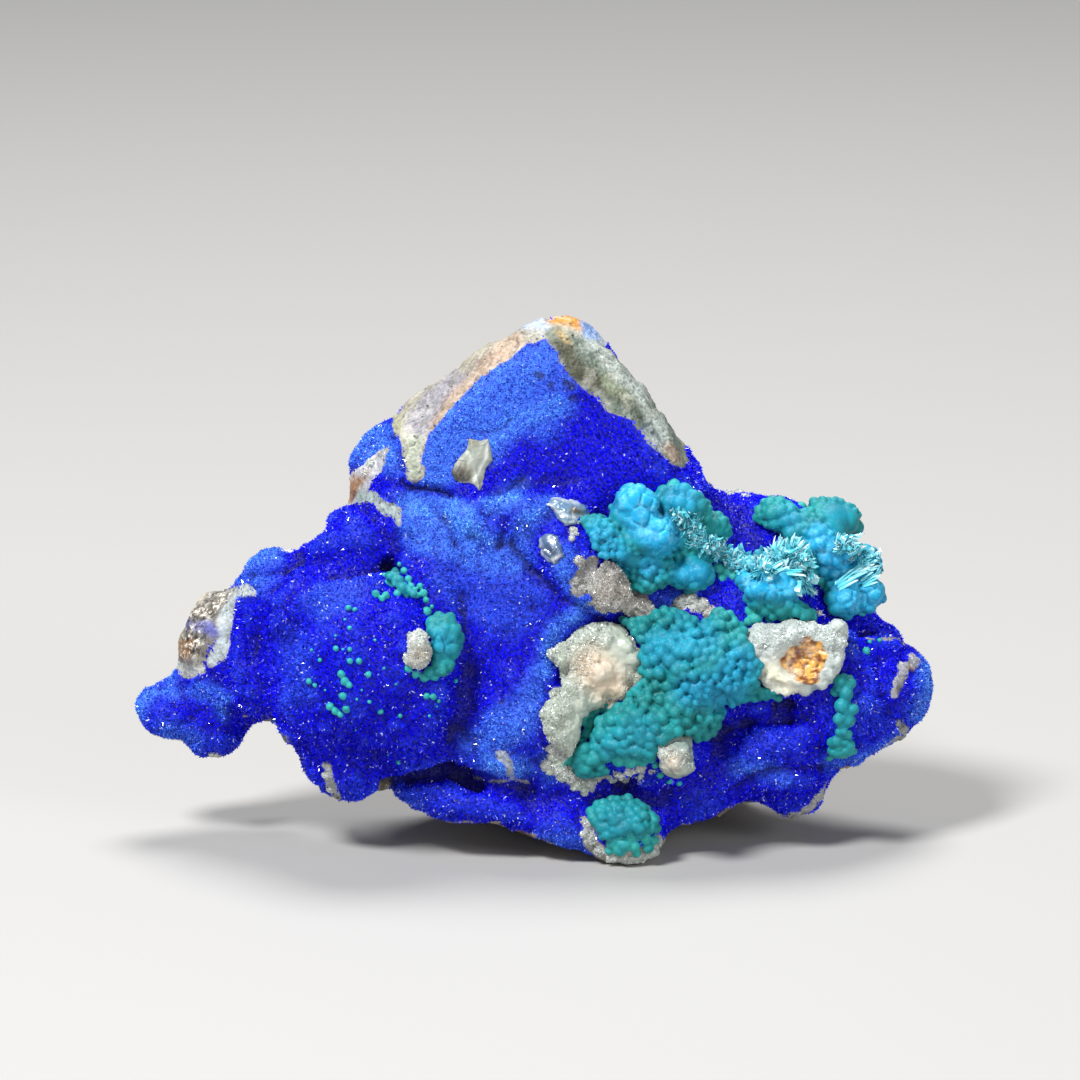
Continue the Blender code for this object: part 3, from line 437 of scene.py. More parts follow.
bare = np.zeros(len(places))
ground = np.tile(linear("#b2a48e"), (len(places), 1))
for code, stroke in BARE.values():
    share = within(ragged, stroke, BARE_EDGE) * near_seen
    bare = np.maximum(bare, share)
    tint(ground, code, share)
for code, strength, stroke in STAINS.values():
    tint(ground, code, within(ragged, stroke, STAIN_EDGE) * near_seen * strength)
azure = np.zeros(len(places))
for strength, stroke in AZURE.values():
    azure = np.maximum(azure, within(ragged, stroke, AZURE_EDGE) * strength * rock_seen)
azure = np.maximum(azure, (1 - rock_seen) * ramp(ripple(places, 8.0, 9), -0.1, 0.5) * 0.5)
blue = crust * (1 - bare)

# Iron and chalk on the broken rock that the eye doesn't see, and light and dark crumbs on the broken end.
hidden = 0.7 * (1 - rock_seen)
tint(ground, "#9c6a3c", hidden * ramp(ripple(places, 7.0, 10) + 0.5 * ripple(places, 2.5, 11), 0.15, 0.7))
tint(ground, "#d2cabb", hidden * ramp(ripple(places, 5.0, 12) + 0.5 * ripple(places, 1.6, 13), 0.1, 0.6))
rough = within(ragged, BROKEN_END, 0.5) * rock_seen
crumbs = ripple(places, 0.9, 14) + 0.6 * ripple(places, 0.4, 15)
tint(ground, "#e2dccf", ramp(crumbs, 0.15, 0.6) * rough * 0.5)
tint(ground, "#3a322d", ramp(-crumbs, 0.15, 0.55) * rough * 0.5)

# The lumps of the crust, the facets of the broken rock, and the grooves between the larger forms.
push = np.zeros(len(places))
smooth_face = within(sheet, PEAK_FACE, 2.0) * rock_seen
for number, (size, height) in enumerate(LUMPS):
    near = seeds_near(places, size, (3.1 * number, 1.7, 8.3))[:, 0]
    uneven = np.clip(0.6 + 0.6 * ripple(places, size * 2.3, 20 + number), 0.15, 1.2)
    push += (0.45 - near) * height * uneven * blue * (1 - 0.75 * smooth_face)
for number, (size, height) in enumerate(FACETS):
    push += broken(places, size, number) * height * (1 - blue) * (1 - 0.3 * rock_seen)
for deep, softness, stroke in CARVED.values():
    push -= within(sheet, stroke, softness) * deep * rock_seen
push += rough * (0.4 * crumbs - 0.3)
push *= ramp(places[:, 2] / MM, FLAT_FOOT, 2.0)
places = places + normals * (push * MM)[:, None]
places[:, 2] = np.maximum(places[:, 2], 0)
move_to(rock.data, places)

# Painted shade: the crust, and the crystals that take their colour from it, are darkened in creases, in wide
# hollows and in the SHADED places.
broad = hollowness(rock.data, 50)
crease = np.maximum(ramp(hollowness(rock.data, 12), 0.05, 0.30), 0.55 * ramp(broad, 0.05, 0.45))
for strength, softness, stroke in SHADED.values():
    crease = np.maximum(crease, strength * within(sheet, stroke, softness) * rock_seen)
# Painted light and shade: the azure is dimmed in the wide hollows and lifted on the brows between them.
azure = np.clip(azure * (1 - 0.35 * ramp(broad, 0.0, 0.3)) + 0.1 * ramp(-broad, 0.05, 0.4), 0, 1)
fine_crease_shade = 0.5 * ramp(hollowness(rock.data, 3), 0.01, 0.07)
store(rock.data, rough=rough, blue=blue, azure=azure, ground=ground, crease=np.maximum(crease, fine_crease_shade))


def new_material(name, constants):
    """A material whose Principled shader has these constants: the material, its tree and the shader."""
    material = bpy.data.materials.new(name)
    material.use_nodes = True
    shader = material.node_tree.nodes["Principled BSDF"]
    for socket, value in constants.items():
        shader.inputs[socket].default_value = value
    return material, material.node_tree, shader


def add_node(tree, kind, *values, output=0, **settings):
    """Adds a node with its settings, and gives its inputs values, hex colours or links, in their order."""
    node = tree.nodes.new(kind)
    for name, value in settings.items():
        setattr(node, name, value)
    for socket, value in zip([socket for socket in node.inputs if socket.enabled], values):
        if isinstance(value, bpy.types.NodeSocket):
            tree.links.new(value, socket)
        elif value is not None:
            socket.default_value = (*linear(value), 1) if str(value).startswith("#") else value
    if isinstance(output, str):
        return node.outputs[output]
    return [socket for socket in node.outputs if socket.enabled][output] if node.outputs else None


def layered(tree, base, *layers):
    """Lays colours over a base, each at a strength from start to end as its source goes from low to high."""
    for source, low, high, start, end, code in layers:
        if isinstance(source, str):
            source = add_node(tree, "ShaderNodeAttribute", attribute_name=source, output="Fac")
        share = add_node(tree, "ShaderNodeMapRange", source, low, high, start, end)
        base = add_node(tree, "ShaderNodeMix", share, base, code, data_type="RGBA")
    return base


def coat(made, material):
    """Smooths the shading of an object and gives it its material."""
    made.data.polygons.foreach_set("use_smooth", np.ones(len(made.data.polygons), dtype=bool))
    made.data.materials.clear()
    made.data.materials.append(material)


# Azurite under its druse, and the broken carbonate rock: dull and granular, with dark and rusty specks, and
# painted shade in its creases.
crust_material, tree, shader = new_material(
    "azurite_on_carbonate_rock", {"Roughness": 0.6, "IOR": 1.6, "Specular IOR Level": 0.25}
)
where = add_node(tree, "ShaderNodeTexCoord", output="Object")
grain = add_node(tree, "ShaderNodeTexNoise", where, 1 / (0.45 * MM), 3.0, 0.6)
patches = add_node(tree, "ShaderNodeTexNoise", where, 1 / (2.6 * MM), 4.0, 0.6)
crumb = add_node(tree, "ShaderNodeTexNoise", where, 1 / (0.8 * MM), 5.0, 0.75)
cells = add_node(tree, "ShaderNodeTexVoronoi", where, 1 / (0.5 * MM))
specks = add_node(tree, "ShaderNodeTexVoronoi", where, 1 / (1.3 * MM))
crumbly = add_node(tree, "ShaderNodeAttribute", attribute_name="rough", output="Fac")
light_crumbs = add_node(tree, "ShaderNodeMapRange", crumb, 0.54, 0.6, 0, 0.85)
light_crumbs = add_node(tree, "ShaderNodeMath", crumbly, light_crumbs, operation="MULTIPLY")
dark_crumbs = add_node(tree, "ShaderNodeMapRange", crumb, 0.4, 0.46, 0.85, 0)
dark_crumbs = add_node(tree, "ShaderNodeMath", crumbly, dark_crumbs, operation="MULTIPLY")
bare_colour = add_node(tree, "ShaderNodeAttribute", attribute_name="ground", output="Color")
speckled = layered(tree, "#4d4238", (grain, 0.25, 0.8, 0, 1, "#ffffff"))
bare_colour = add_node(
    tree, "ShaderNodeMix", 0.7, bare_colour, speckled, data_type="RGBA", blend_type="MULTIPLY"
)
bare_colour = layered(
    tree, bare_colour,
    (patches, 0.52, 0.66, 0, 0.28, "#dad8cc"),
    (patches, 0.34, 0.46, 0.45, 0, "#6d6a5c"),
    (specks, 0.10, 0.16, 0.8, 0, "#2f2a26"),
    (light_crumbs, 0, 1, 0, 1, "#efe9dc"),
    (dark_crumbs, 0, 1, 0, 1, "#241f1c"),
)
deep_blue = layered(tree, "#02016c", (grain, 0.35, 0.65, 0, 1, "#0a09cc"))
milky_blue = layered(tree, "#0c38c6", (grain, 0.35, 0.65, 0, 1, "#4a8af4"))
edge = add_node(tree, "ShaderNodeAttribute", attribute_name="blue", output="Fac")
uneven = add_node(tree, "ShaderNodeMapRange", grain, 0.2, 0.8, -0.3, 0.3)
edge = add_node(tree, "ShaderNodeMath", edge, uneven, operation="ADD")
skin = layered(
    tree, bare_colour,
    (edge, 0.42, 0.58, 0, 1, layered(tree, deep_blue, ("azure", 0, 1, 0, 1, milky_blue))),
    ("crease", 0, 1, 0, 0.7, "#05041c"),
)
tree.links.new(skin, shader.inputs["Base Color"])
relief = add_node(tree, "ShaderNodeMath", cells, 0.6, operation="MULTIPLY")
relief = add_node(tree, "ShaderNodeMath", grain, relief, operation="ADD")
relief = add_node(tree, "ShaderNodeBump", 0.8, 0.22 * MM, None, relief)
tree.links.new(relief, shader.inputs["Normal"])
coat(rock, crust_material)
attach(rock, "root")
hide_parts("azurite_rock")

# The druse ----------------------------------------------------------------------------------------
# Azurite crystals a quarter to half a millimetre long stand side by side all over the crust, each a
# small wedge with flat, glassy faces. They grew outward, larger and darker where it is deep blue.

DRUSE_ZONES = {  # from and to, mm across the sheet
    "left": (-99, -27.5),
    "boss": (-27.5, -13.5),
    "middle": (-13.5, 2.5),
    "centre": (2.5, 20),
    "right": (20, 99),
}
DRUSE = {  # a crystal's sides, half width, half thickness and length, how many to a mm2, roughness and gloss
    "sugar": (3, 0.105, 0.09, 0.27, 27.0, 0.3, 0.08),
    "blades": (4, 0.17, 0.075, 0.42, 5.0, 0.14, 0.4),
}
DRUSE_LENGTHS = (0.75, 1.35)  # the shortest and the longest, against the one above
DRUSE_LEAN = 0.75  # radians
UNSEEN_SHARE = 0.45  # how densely the sides and the top behind are covered, against the front


def grow_crystals(name, carrier, crystal, density, zone, lengths, lean, seed, material):
    """Stands crystals on a carrier where its attributes density and zone are above nought, as one mesh."""
    tree = bpy.data.node_groups.new(name, "GeometryNodeTree")
    tree.interface.new_socket("Geometry", in_out="OUTPUT", socket_type="NodeSocketGeometry")
    ground = add_node(tree, "GeometryNodeObjectInfo", carrier, output="Geometry")
    stem = add_node(tree, "GeometryNodeObjectInfo", crystal, output="Geometry")
    density, zone, growth = (
        add_node(tree, "GeometryNodeInputNamedAttribute", title) for title in (density, zone, "growth")
    )
    amount = add_node(tree, "ShaderNodeMath", density, zone, operation="MULTIPLY")
    amount = add_node(tree, "ShaderNodeMath", amount, 1 / (MM * MM), operation="MULTIPLY")
    points = add_node(tree, "GeometryNodeDistributePointsOnFaces", ground, None, amount, seed)
    low, high = (-lean, -lean, -math.pi), (lean, lean, math.pi)
    turn = add_node(tree, "FunctionNodeRandomValue", low, high, None, seed + 1, data_type="FLOAT_VECTOR")
    turn = add_node(tree, "FunctionNodeEulerToRotation", turn)
    upright = points.node.outputs["Rotation"]
    turn = add_node(tree, "FunctionNodeRotateRotation", upright, turn, rotation_space="LOCAL")
    low, high = (length * MM for length in lengths)
    size = add_node(tree, "FunctionNodeRandomValue", low, high, None, seed + 2, data_type="FLOAT")
    size = add_node(tree, "ShaderNodeMath", size, growth, operation="MULTIPLY")
    grown = add_node(tree, "GeometryNodeInstanceOnPoints", points, None, stem, None, None, turn, size)
    shade = add_node(tree, "FunctionNodeRandomValue", 0.0, 1.0, None, seed + 3, data_type="FLOAT")
    grown = add_node(
        tree, "GeometryNodeStoreNamedAttribute", grown, None, "shade", shade,
        data_type="FLOAT", domain="INSTANCE",
    )
    grown = add_node(tree, "GeometryNodeRealizeInstances", grown)
    add_node(tree, "NodeGroupOutput", grown)

    made = bpy.data.objects.new(name, bpy.data.meshes.new(name))
    bpy.context.scene.collection.objects.link(made)
    made.modifiers.new("Grow", "NODES").node_group = tree
    bake_modifiers(made)
    made.data.materials.clear()
    made.data.materials.append(material)
    return made


across = on_sheet(places)[:, 0]
for zone, (start, end) in DRUSE_ZONES.items():
    store(rock.data, **{zone: ((across >= start) & (across < end)).astype(float)})
store(rock.data, growth=(1.05 - 0.2 * azure) * (1 - 0.3 * crease))
cover = ramp(blue, 0.35, 0.7) * (UNSEEN_SHARE + (1 - UNSEEN_SHARE) * even_out(rock.data, rock_seen, 6))
places, normals = places_of(rock.data)
cover *= places[:, 2] / MM > 0.2 + 0.7 * np.clip(-normals[:, 2], 0, 1)  # none that would reach the ground

for kind, (sides, half_width, half_depth, length, number, roughness, gloss) in DRUSE.items():
    # Azurite crystals: deep ultramarine, and a milkier azure where they are finest; no two catch the
    # light alike. One in a hundred is painted near white as a painted glint, and those in creases take
    # painted shade. The fine ones are soft to the light, and the longer blades glassy.
    azurite, tree, shader = new_material(
        f"azurite_{kind}", {"Roughness": roughness, "IOR": 1.75, "Specular IOR Level": gloss}
    )
    deep = layered(tree, "#000086", ("shade", 0.05, 0.8, 0, 1, "#0d0dff"))
    light = layered(tree, "#00269c", ("shade", 0.1, 0.9, 0, 1, "#78caff"))
    crystal_colour = layered(
        tree, deep,
        ("azure", 0, 1, 0, 1, light),
        # a painted glint: one crystal in a hundred is painted near white
        ("shade", 0.985, 0.99, 0, 0.95, "#ccd6ff"),  # the one in a hundred that glints
        ("crease", 0, 1, 0, 0.75, "#040330"),
    )
    tree.links.new(crystal_colour, shader.inputs["Base Color"])
    store(rock.data, **{kind: cover * number * (1 - 0.6 * azure * (kind == "blades"))})

    bm = bmesh.new()
    bmesh.ops.create_cone(bm, cap_ends=True, segments=sides, radius1=1, radius2=0, depth=1)
    bmesh.ops.remove_doubles(bm, verts=bm.verts, dist=1e-4)
    for vert in bm.verts:
        vert.co = Vector((vert.co.x * half_width, vert.co.y * half_depth, (vert.co.z + 0.25) * length))
    crystal = object_from(kind + "_crystal", bm)
    for order, zone in enumerate(DRUSE_ZONES):
        druse = grow_crystals(
            f"azurite_{kind}_{zone}", rock, crystal, kind, zone,
            DRUSE_LENGTHS, DRUSE_LEAN, 11 + 10 * order + sides, azurite,
        )
        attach(druse, "root")
    bpy.data.objects.remove(crystal)

# The rosasite -------------------------------------------------------------------------------------
# Rosasite grew over the azurite in crusts of packed globules, each a ball of silky needles half a
# millimetre to two across. They are green where thin and blue where thick, and the great domes fused.

FORM_VOXEL = 0.28  # mm, for a crust's own form
FINE_VOXEL = 0.15  # mm, for its globules
BEAD_VOXEL = 0.11
BEAD_STAND = 0.35  # how far the middle of a loose bead stands out, against its radius
PACKING = 0.7  # how near two globules stand, against their two radii
SUNK = (0.25, 0.55)  # how much of its radius a globule is sunk
BLUE_EDGE = 1.6  # mm on each side over which the edge of a blue place fades
GREAT_EDGE = 0.8  # the same for the great domes
FURROWS = 1.9  # mm from a furrow of the great domes to the next
FURROW_DEPTH = 0.17  # mm
LOBE_HEIGHT = 0.36  # mm, between the furrows

# For each crust: the least and the greatest radius of its globules, how far its own form sinks under
# them, the stroke of its great domes, those left plain, its single domes (place, radius and how far
# each stands proud), and its blue places with their strength.
ROSASITE = {
    "lower_rosasite": {
        "globules": (0.48, 0.9), "sink": 0.5, "seed": 3, "great": [(22.5, 19.8, 1.4), (19.9, 18.4, 0.8)],
        "domes": [(20.7, 23.6, 1.2, 0.3), (19.4, 21, 1.2, 0.3), (22.8, 27, 1.08, 0.3),
            (16.5, 19.8, 1.2, 0.3), (25.7, 25.8, 1.08, 0.3), (21.8, 30.4, 0.72, 0.3),
            (23.5, 21, 1.08, 0.15), (21.3, 19.1, 1.08, 0.15), (17.5, 23.6, 1.08, 0.25),
            (18.7, 25.8, 0.96, 0.25), (14.5, 27, 0.96, 0.3), (15.1, 18, 1.08, 0.3), (12.7, 15.6, 1.08, 0.3),
            (9.3, 13.8, 0.96, 0.3), (14.5, 12, 0.48, 0.4), (15.1, 10.8, 0.48, 0.4), (16.2, 10.1, 0.48, 0.4),
            (17.4, 9.8, 0.42, 0.3), (4.9, 12, 0.72, 0.4), (3.8, 12.6, 0.72, 0.4), (4.3, 11.2, 0.72, 0.4),
            (5.7, 11.4, 0.72, 0.4), (6.7, 12.4, 0.72, 0.4), (5.4, 17.6, 0.72, 0.4), (5.1, 16.6, 0.72, 0.4),
            (6.2, 17.2, 0.72, 0.4), (8.6, 13, 0.96, 0.6), (10.1, 12.6, 0.96, 0.6), (11.5, 12.4, 0.96, 0.6),
            (12.9, 12.6, 0.96, 0.6), (13.9, 13.3, 0.84, 0.5), (7.4, 12.6, 0.96, 0.6),
            (10.8, 13.6, 1.08, 0.5), (12.3, 13.6, 1.08, 0.5), (6.1, 18.4, 0.72, 0.7),
            (7.4, 18.6, 0.84, 0.7), (8.7, 18.8, 0.84, 0.7), (10.1, 18.8, 0.84, 0.7),
            (11.4, 18.4, 0.84, 0.7), (7.9, 17.2, 0.84, 0.7), (9.3, 17.4, 0.84, 0.7),
            (10.8, 17.2, 0.84, 0.7), (6.5, 15.8, 0.84, 0.7), (5.3, 15, 0.72, 0.6), (7.9, 15.6, 0.84, 0.7),
            (4.7, 14, 0.72, 0.6), (3.8, 13, 0.72, 0.5), (3.1, 12, 0.6, 0.5), (4.5, 12.4, 0.72, 0.6),
            (6, 14, 0.84, 0.7), (12.2, 17.9, 0.84, 0.6), (6.9, 17.2, 0.72, 0.7), (10.3, 15.8, 0.84, 0.6),
            (9.1, 14.4, 0.84, 0.6)],
        "blue": [(0.5, [(18.7, 21, 1.9), (22.9, 21, 2.6), (24.7, 24, 2.4)]), (0.36, [(15.1, 25.8, 2.6),
            (19.9, 27, 2.6)]), (0.22, [(12.7, 15.6, 2.6), (9.1, 14.4, 1.7)]), (0.3, [(17.5, 29.4, 1)])],
    },
    "upper_rosasite": {
        "globules": (0.42, 0.72), "sink": 0.4, "seed": 5,
        "great": [(11.7, 43.8, 2.6), (13.7, 41.6, 2.4), (15.2, 39.5, 2.2)],
        "domes": [(11.9, 43.8, 2.52, 0.5), (14, 43.4, 1.68, 0.5), (10.3, 41.8, 1.68, 0.4),
            (12.7, 41.4, 2.04, 0.5), (15.1, 39.5, 2.28, 0.8), (13.3, 38.9, 1.68, 0.5),
            (11.5, 39.2, 1.44, 0.4), (16.1, 41.2, 1.32, 0.6), (11.7, 36.6, 1.2, 0.4),
            (10.4, 37.1, 0.84, 0.4), (12.9, 36.4, 0.96, 0.45), (14.3, 36.6, 0.84, 0.4),
            (15.5, 44.8, 0.96, 0.7), (16.7, 45.4, 1.08, 0.7), (18, 45, 1.08, 0.7), (19.2, 44.2, 0.96, 0.7),
            (20, 43.1, 0.96, 0.6), (18.7, 42.8, 1.08, 0.7), (17.4, 43.4, 1.08, 0.7),
            (16.1, 43.6, 0.96, 0.6), (19.5, 42, 0.84, 0.6), (20.7, 41.6, 0.84, 0.6),
            (21.6, 40.9, 0.84, 0.6), (21.9, 40, 0.72, 0.5), (20.6, 40.4, 0.72, 0.5),
            (22.5, 41.3, 0.48, 0.5), (17.9, 35, 1.44, 0.8), (19.9, 35.3, 1.44, 0.9), (18.8, 36.4, 1.2, 0.7),
            (20.9, 34.4, 0.96, 0.7), (17.4, 33.7, 0.84, 0.5), (19.2, 33.5, 0.84, 0.5),
            (22.1, 35.6, 0.84, 0.5), (23.3, 35.3, 0.84, 0.5), (22.5, 34.4, 0.72, 0.4),
            (23.9, 34.6, 0.72, 0.4)],
        "blue": [(1, [(12, 43.8, 2.6), (13.3, 41.4, 2.3), (15.2, 39.5, 2.2)]), (0.55, [(7.9, 39, 2.4),
            (10.3, 36.6, 1.7)]), (0.7, [(18, 35, 1.4), (19.9, 35, 1.4)]), (0.5, [(17.5, 43.8, 2.4)]),
            (0.6, [(13.9, 36, 1.7)])],
    },
    "middle_rosasite": {
        "globules": (0.45, 0.75), "sink": 0.4, "seed": 8,
        "great": [(26.1, 33.5, 1.7), (28.5, 33, 1.7), (30.9, 33.2, 1.2)],
        "domes": [(26.7, 33.1, 1.68, 0.9), (28.5, 32.6, 1.44, 0.9), (30.7, 33.1, 1.44, 1),
            (25.4, 34, 1.2, 0.8), (27.7, 34.6, 1.44, 0.7), (29.9, 34.6, 1.32, 0.7), (25.3, 35.8, 1.08, 0.6),
            (27.1, 36.5, 1.08, 0.6), (28.9, 36.6, 1.08, 0.6), (30.7, 36.4, 0.96, 0.6),
            (23.6, 36.2, 0.84, 0.5), (22.5, 37.1, 0.84, 0.5), (25.9, 30.5, 0.72, 0.7),
            (26.7, 31.4, 0.84, 0.7), (27.7, 30.6, 0.84, 0.7), (28.5, 31.3, 0.84, 0.7),
            (29.5, 30.5, 0.84, 0.7), (30.5, 31.1, 0.84, 0.7), (31.4, 30.4, 0.72, 0.7),
            (32.3, 29.8, 0.6, 0.6), (26.7, 29.5, 0.72, 0.6), (28.3, 29.5, 0.72, 0.5),
            (30.1, 29.5, 0.72, 0.6), (25.7, 29.2, 0.6, 0.6), (24.9, 28.1, 0.6, 0.5), (24.7, 27, 0.6, 0.5)],
        "blue": [(0.9, [(25.9, 33.8, 1.8), (30.9, 33.5, 1.6)]), (0.6, [(24.1, 36.4, 1.2),
            (30.7, 36.4, 1.2)])],
    },
    "right_rosasite": {
        "globules": (0.45, 0.75), "sink": 0.4, "seed": 13,
        "great": [(37.9, 32.3, 1.7), (40.7, 32, 1.7), (36.5, 41.9, 1.9), (38.5, 40.9, 1.2)],
        "plain": [(36.5, 41.9, 1.9), (38.5, 40.9, 1.2)],
        "domes": [(28.3, 43.4, 0.84, 0.7), (28.5, 42.1, 0.96, 0.8), (28.8, 40.9, 0.84, 0.7),
            (29.5, 43.8, 0.72, 0.5), (30.3, 41.2, 0.96, 0.7), (31.4, 41.4, 1.08, 0.8),
            (32.5, 41.6, 0.96, 0.7), (29.6, 42.4, 0.84, 0.6), (30.9, 42.8, 0.84, 0.5),
            (32.1, 43, 0.84, 0.5), (30.7, 39.8, 0.96, 0.6), (31.7, 40.2, 0.84, 0.6),
            (36.2, 41.8, 2.52, 0.4), (34.3, 42.8, 1.44, 0.4), (37.9, 41.2, 1.68, 0.4),
            (38.9, 40.2, 1.08, 0.4), (33.3, 39.6, 0.72, 0.7), (34.5, 40, 0.72, 0.7),
            (35.7, 39.5, 0.72, 0.7), (33.1, 38.2, 0.84, 0.7), (34.3, 38.4, 0.84, 0.8),
            (35.5, 38, 0.84, 0.8), (36.7, 38.4, 0.72, 0.7), (33.7, 36.8, 0.84, 0.7), (35, 36.7, 0.96, 0.9),
            (36.2, 36.4, 0.84, 0.8), (37.3, 37.1, 0.72, 0.6), (34.5, 35.4, 0.84, 0.8),
            (35.9, 35, 0.84, 0.8), (33.5, 35.6, 0.72, 0.6), (34.1, 34.2, 0.72, 0.6),
            (37.9, 38.4, 0.96, 0.7), (39.1, 38, 0.96, 0.7), (39.8, 39, 0.84, 0.5), (38.9, 36.8, 1.08, 0.7),
            (40.3, 36.4, 1.08, 0.7), (41.5, 35.2, 0.96, 0.6), (37.3, 35.4, 1.08, 0.7),
            (38.5, 35.2, 1.08, 0.7), (40.1, 34.7, 1.08, 0.7), (37.9, 33.1, 1.56, 0.9),
            (37.7, 31.7, 1.44, 0.8), (40.7, 32.8, 1.68, 1), (40.1, 31.2, 1.44, 0.8), (35.7, 32, 1.08, 0.8),
            (36.2, 30.8, 1.08, 0.7), (35, 33.2, 0.96, 0.6), (39.1, 30.5, 0.96, 0.6), (41.7, 32, 0.96, 0.6)],
        "blue": [(0.85, [(37.9, 32.3, 2.4), (40.5, 32.2, 2.2)]), (0.9, [(34.3, 39, 1.9), (36.1, 36.4, 2.4),
            (39.7, 36.4, 1.9)]), (0.4, [(30.7, 41.4, 1.7)]), (0.3, [(36.5, 42, 1.9)])],
    },
    "foot_rosasite": {
        "globules": (0.5, 0.8), "sink": 0.45, "seed": 21,
        "domes": [(8.7, 3.6, 0.72, 0.5), (10.8, 2.5, 0.96, 0.5), (11.7, 6, 0.72, 0.4),
            (7.9, 6.4, 0.72, 0.4), (13.3, 3.2, 0.84, 0.5), (9.6, 5.2, 0.84, 0.4), (9.3, 2.6, 0.84, 0.5),
            (10.3, 1.7, 0.84, 0.6), (12, 2.2, 0.84, 0.5), (13.7, 2, 0.72, 0.5), (8, 4.4, 0.84, 0.4),
            (14.5, 3, 0.6, 0.4), (7.3, 5.2, 0.72, 0.4), (9, 1.7, 0.6, 0.4), (12.3, 1.4, 0.6, 0.4),
            (10.4, 4.1, 0.84, 0.6), (11.7, 3.5, 0.96, 0.6), (11.1, 4.6, 0.84, 0.6), (9.8, 3.2, 0.84, 0.6),
            (12.7, 4.3, 0.84, 0.6)],
        "blue": [(0.2, [(10.3, 4.8, 2.9)])],
    },
    "left_rosasite": {
        "globules": (0.5, 0.9), "sink": 0.3, "seed": 34, "great": [(-11.1, 27, 1.4), (-11.3, 25.6, 1.2)],
        "domes": [(-12.3, 29.2, 0.96, 0.5), (-10.5, 29.4, 0.96, 0.5), (-9.6, 28, 1.08, 0.5),
            (-11.5, 27.7, 1.08, 0.4), (-11.2, 25.8, 1.44, 0.5), (-9.7, 26, 1.08, 0.5),
            (-15.1, 23.6, 0.6, 0.4), (-14.3, 22.9, 0.6, 0.4), (-13.2, 22.6, 0.72, 0.5),
            (-12, 22.7, 0.72, 0.5), (-10.9, 23.2, 0.72, 0.5), (-10.1, 24.2, 0.84, 0.5),
            (-12.9, 30.4, 0.72, 0.4), (-8.7, 27, 0.48, 0.3)],
        "blue": [(0.4, [(-11.1, 26.8, 1.7)])],
    },
    "strip_rosasite": {
        "globules": (0.4, 0.7), "sink": 0.35, "seed": 55,
        "domes": [(36.7, 22.1, 0.84, 0.7), (38, 21.8, 0.72, 0.6), (36.2, 20.8, 0.72, 0.6),
            (37.5, 20.5, 0.84, 0.7), (36.9, 19.1, 0.96, 0.7), (38.3, 18.7, 0.72, 0.6),
            (36.5, 17.5, 0.72, 0.6), (37.8, 17.3, 0.84, 0.7), (37.3, 15.7, 0.96, 0.7),
            (36.2, 14.8, 0.72, 0.6), (37.9, 14.4, 0.72, 0.6), (36.5, 13.4, 0.72, 0.6),
            (35.4, 13, 0.6, 0.5)],
        "blue": [(0.15, [(37.1, 18, 3.6)])],
    },
    "sprig_rosasite": {
        "globules": (0.3, 0.5), "sink": 0.3, "seed": 89,
        "domes": [(-16.6, 35.2, 0.6, 0.6), (-15.6, 35.3, 0.48, 0.5), (-17.3, 34.6, 0.48, 0.5),
            (-16.2, 34.2, 0.6, 0.6), (-15.1, 34.3, 0.48, 0.5), (-16.9, 33.5, 0.48, 0.5),
            (-15.9, 33.2, 0.6, 0.6), (-14.8, 33.4, 0.48, 0.5), (-17.7, 33.8, 0.48, 0.4),
            (-16.5, 32.5, 0.48, 0.5), (-15.4, 32.4, 0.48, 0.5), (-18, 34.7, 0.42, 0.4),
            (-14.5, 32.5, 0.48, 0.5), (-16.1, 36.1, 0.36, 0.4)],
        "blue": [(0.15, [(-16.1, 33, 2.4)])],
    },
}
# Loose globules on the azurite: place and radius.
BEADS = [
    (-22.3, 30.8, 0.4), (-21.5, 30.6, 0.3), (-22.7, 29.4, 0.2), (-22.1, 28.4, 0.3), (-23.8, 26, 0.4),
    (-22.9, 25.9, 0.2), (-22.1, 25.9, 0.3), (-22.1, 24.5, 0.4), (-21, 24.5, 0.4), (-25.7, 24.6, 0.3),
    (-27, 22.1, 0.4), (-26.3, 21.6, 0.3), (-23.1, 22.9, 0.5), (-22.7, 22.1, 0.5), (-22.2, 21.6, 0.4),
    (-22.9, 20.3, 0.5), (-22.5, 18.8, 0.5), (-24.5, 19.1, 0.5), (-23.8, 18.5, 0.5), (-23.2, 18.1, 0.4),
    (-19.9, 22.9, 0.4), (-19.8, 19.6, 0.3), (-18.5, 18.5, 0.4), (-21.3, 19.9, 0.2), (-16.6, 21.7, 0.2),
    (-12.9, 20.3, 0.4), (-12.1, 20.2, 0.4), (-11.5, 19.7, 0.3), (-11.7, 19.1, 0.2), (-12.6, 17.9, 0.2),
    (-16.1, 17.9, 0.3), (-19, 32.5, 0.5), (-18.3, 31.9, 0.4), (-17.8, 32.3, 0.5), (-14.4, 33, 0.4),
    (-13.3, 32.6, 0.5), (-13, 31.8, 0.4), (-13.7, 33.5, 0.4), (-12.3, 31, 0.3), (-14.1, 32.3, 0.4),
    (-9.5, 22.1, 0.3), (39.8, 25.6, 0.5), (40.3, 26.8, 0.3), (41.4, 26.9, 0.3), (22.7, 41.3, 0.5),
    (-23.8, 27.5, 0.2), (-25.1, 21, 0.2), (-26.7, 25.8, 0.2), (-20.7, 21, 0.2), (-17.5, 13.3, 0.2),
    (-16.3, 12.4, 0.3), (-19.1, 27, 0.2), (-18, 23.6, 0.2), (-21.4, 16.2, 0.2),
]


def sight_to(across, up):
    """The direction from the eye to a place on the sheet."""
    through = TARGET + Vector((1, 0, 0)) * (across - AIM[0]) * MM + UPWARD * (up - AIM[1]) * MM
    return (through - EYE).normalized()


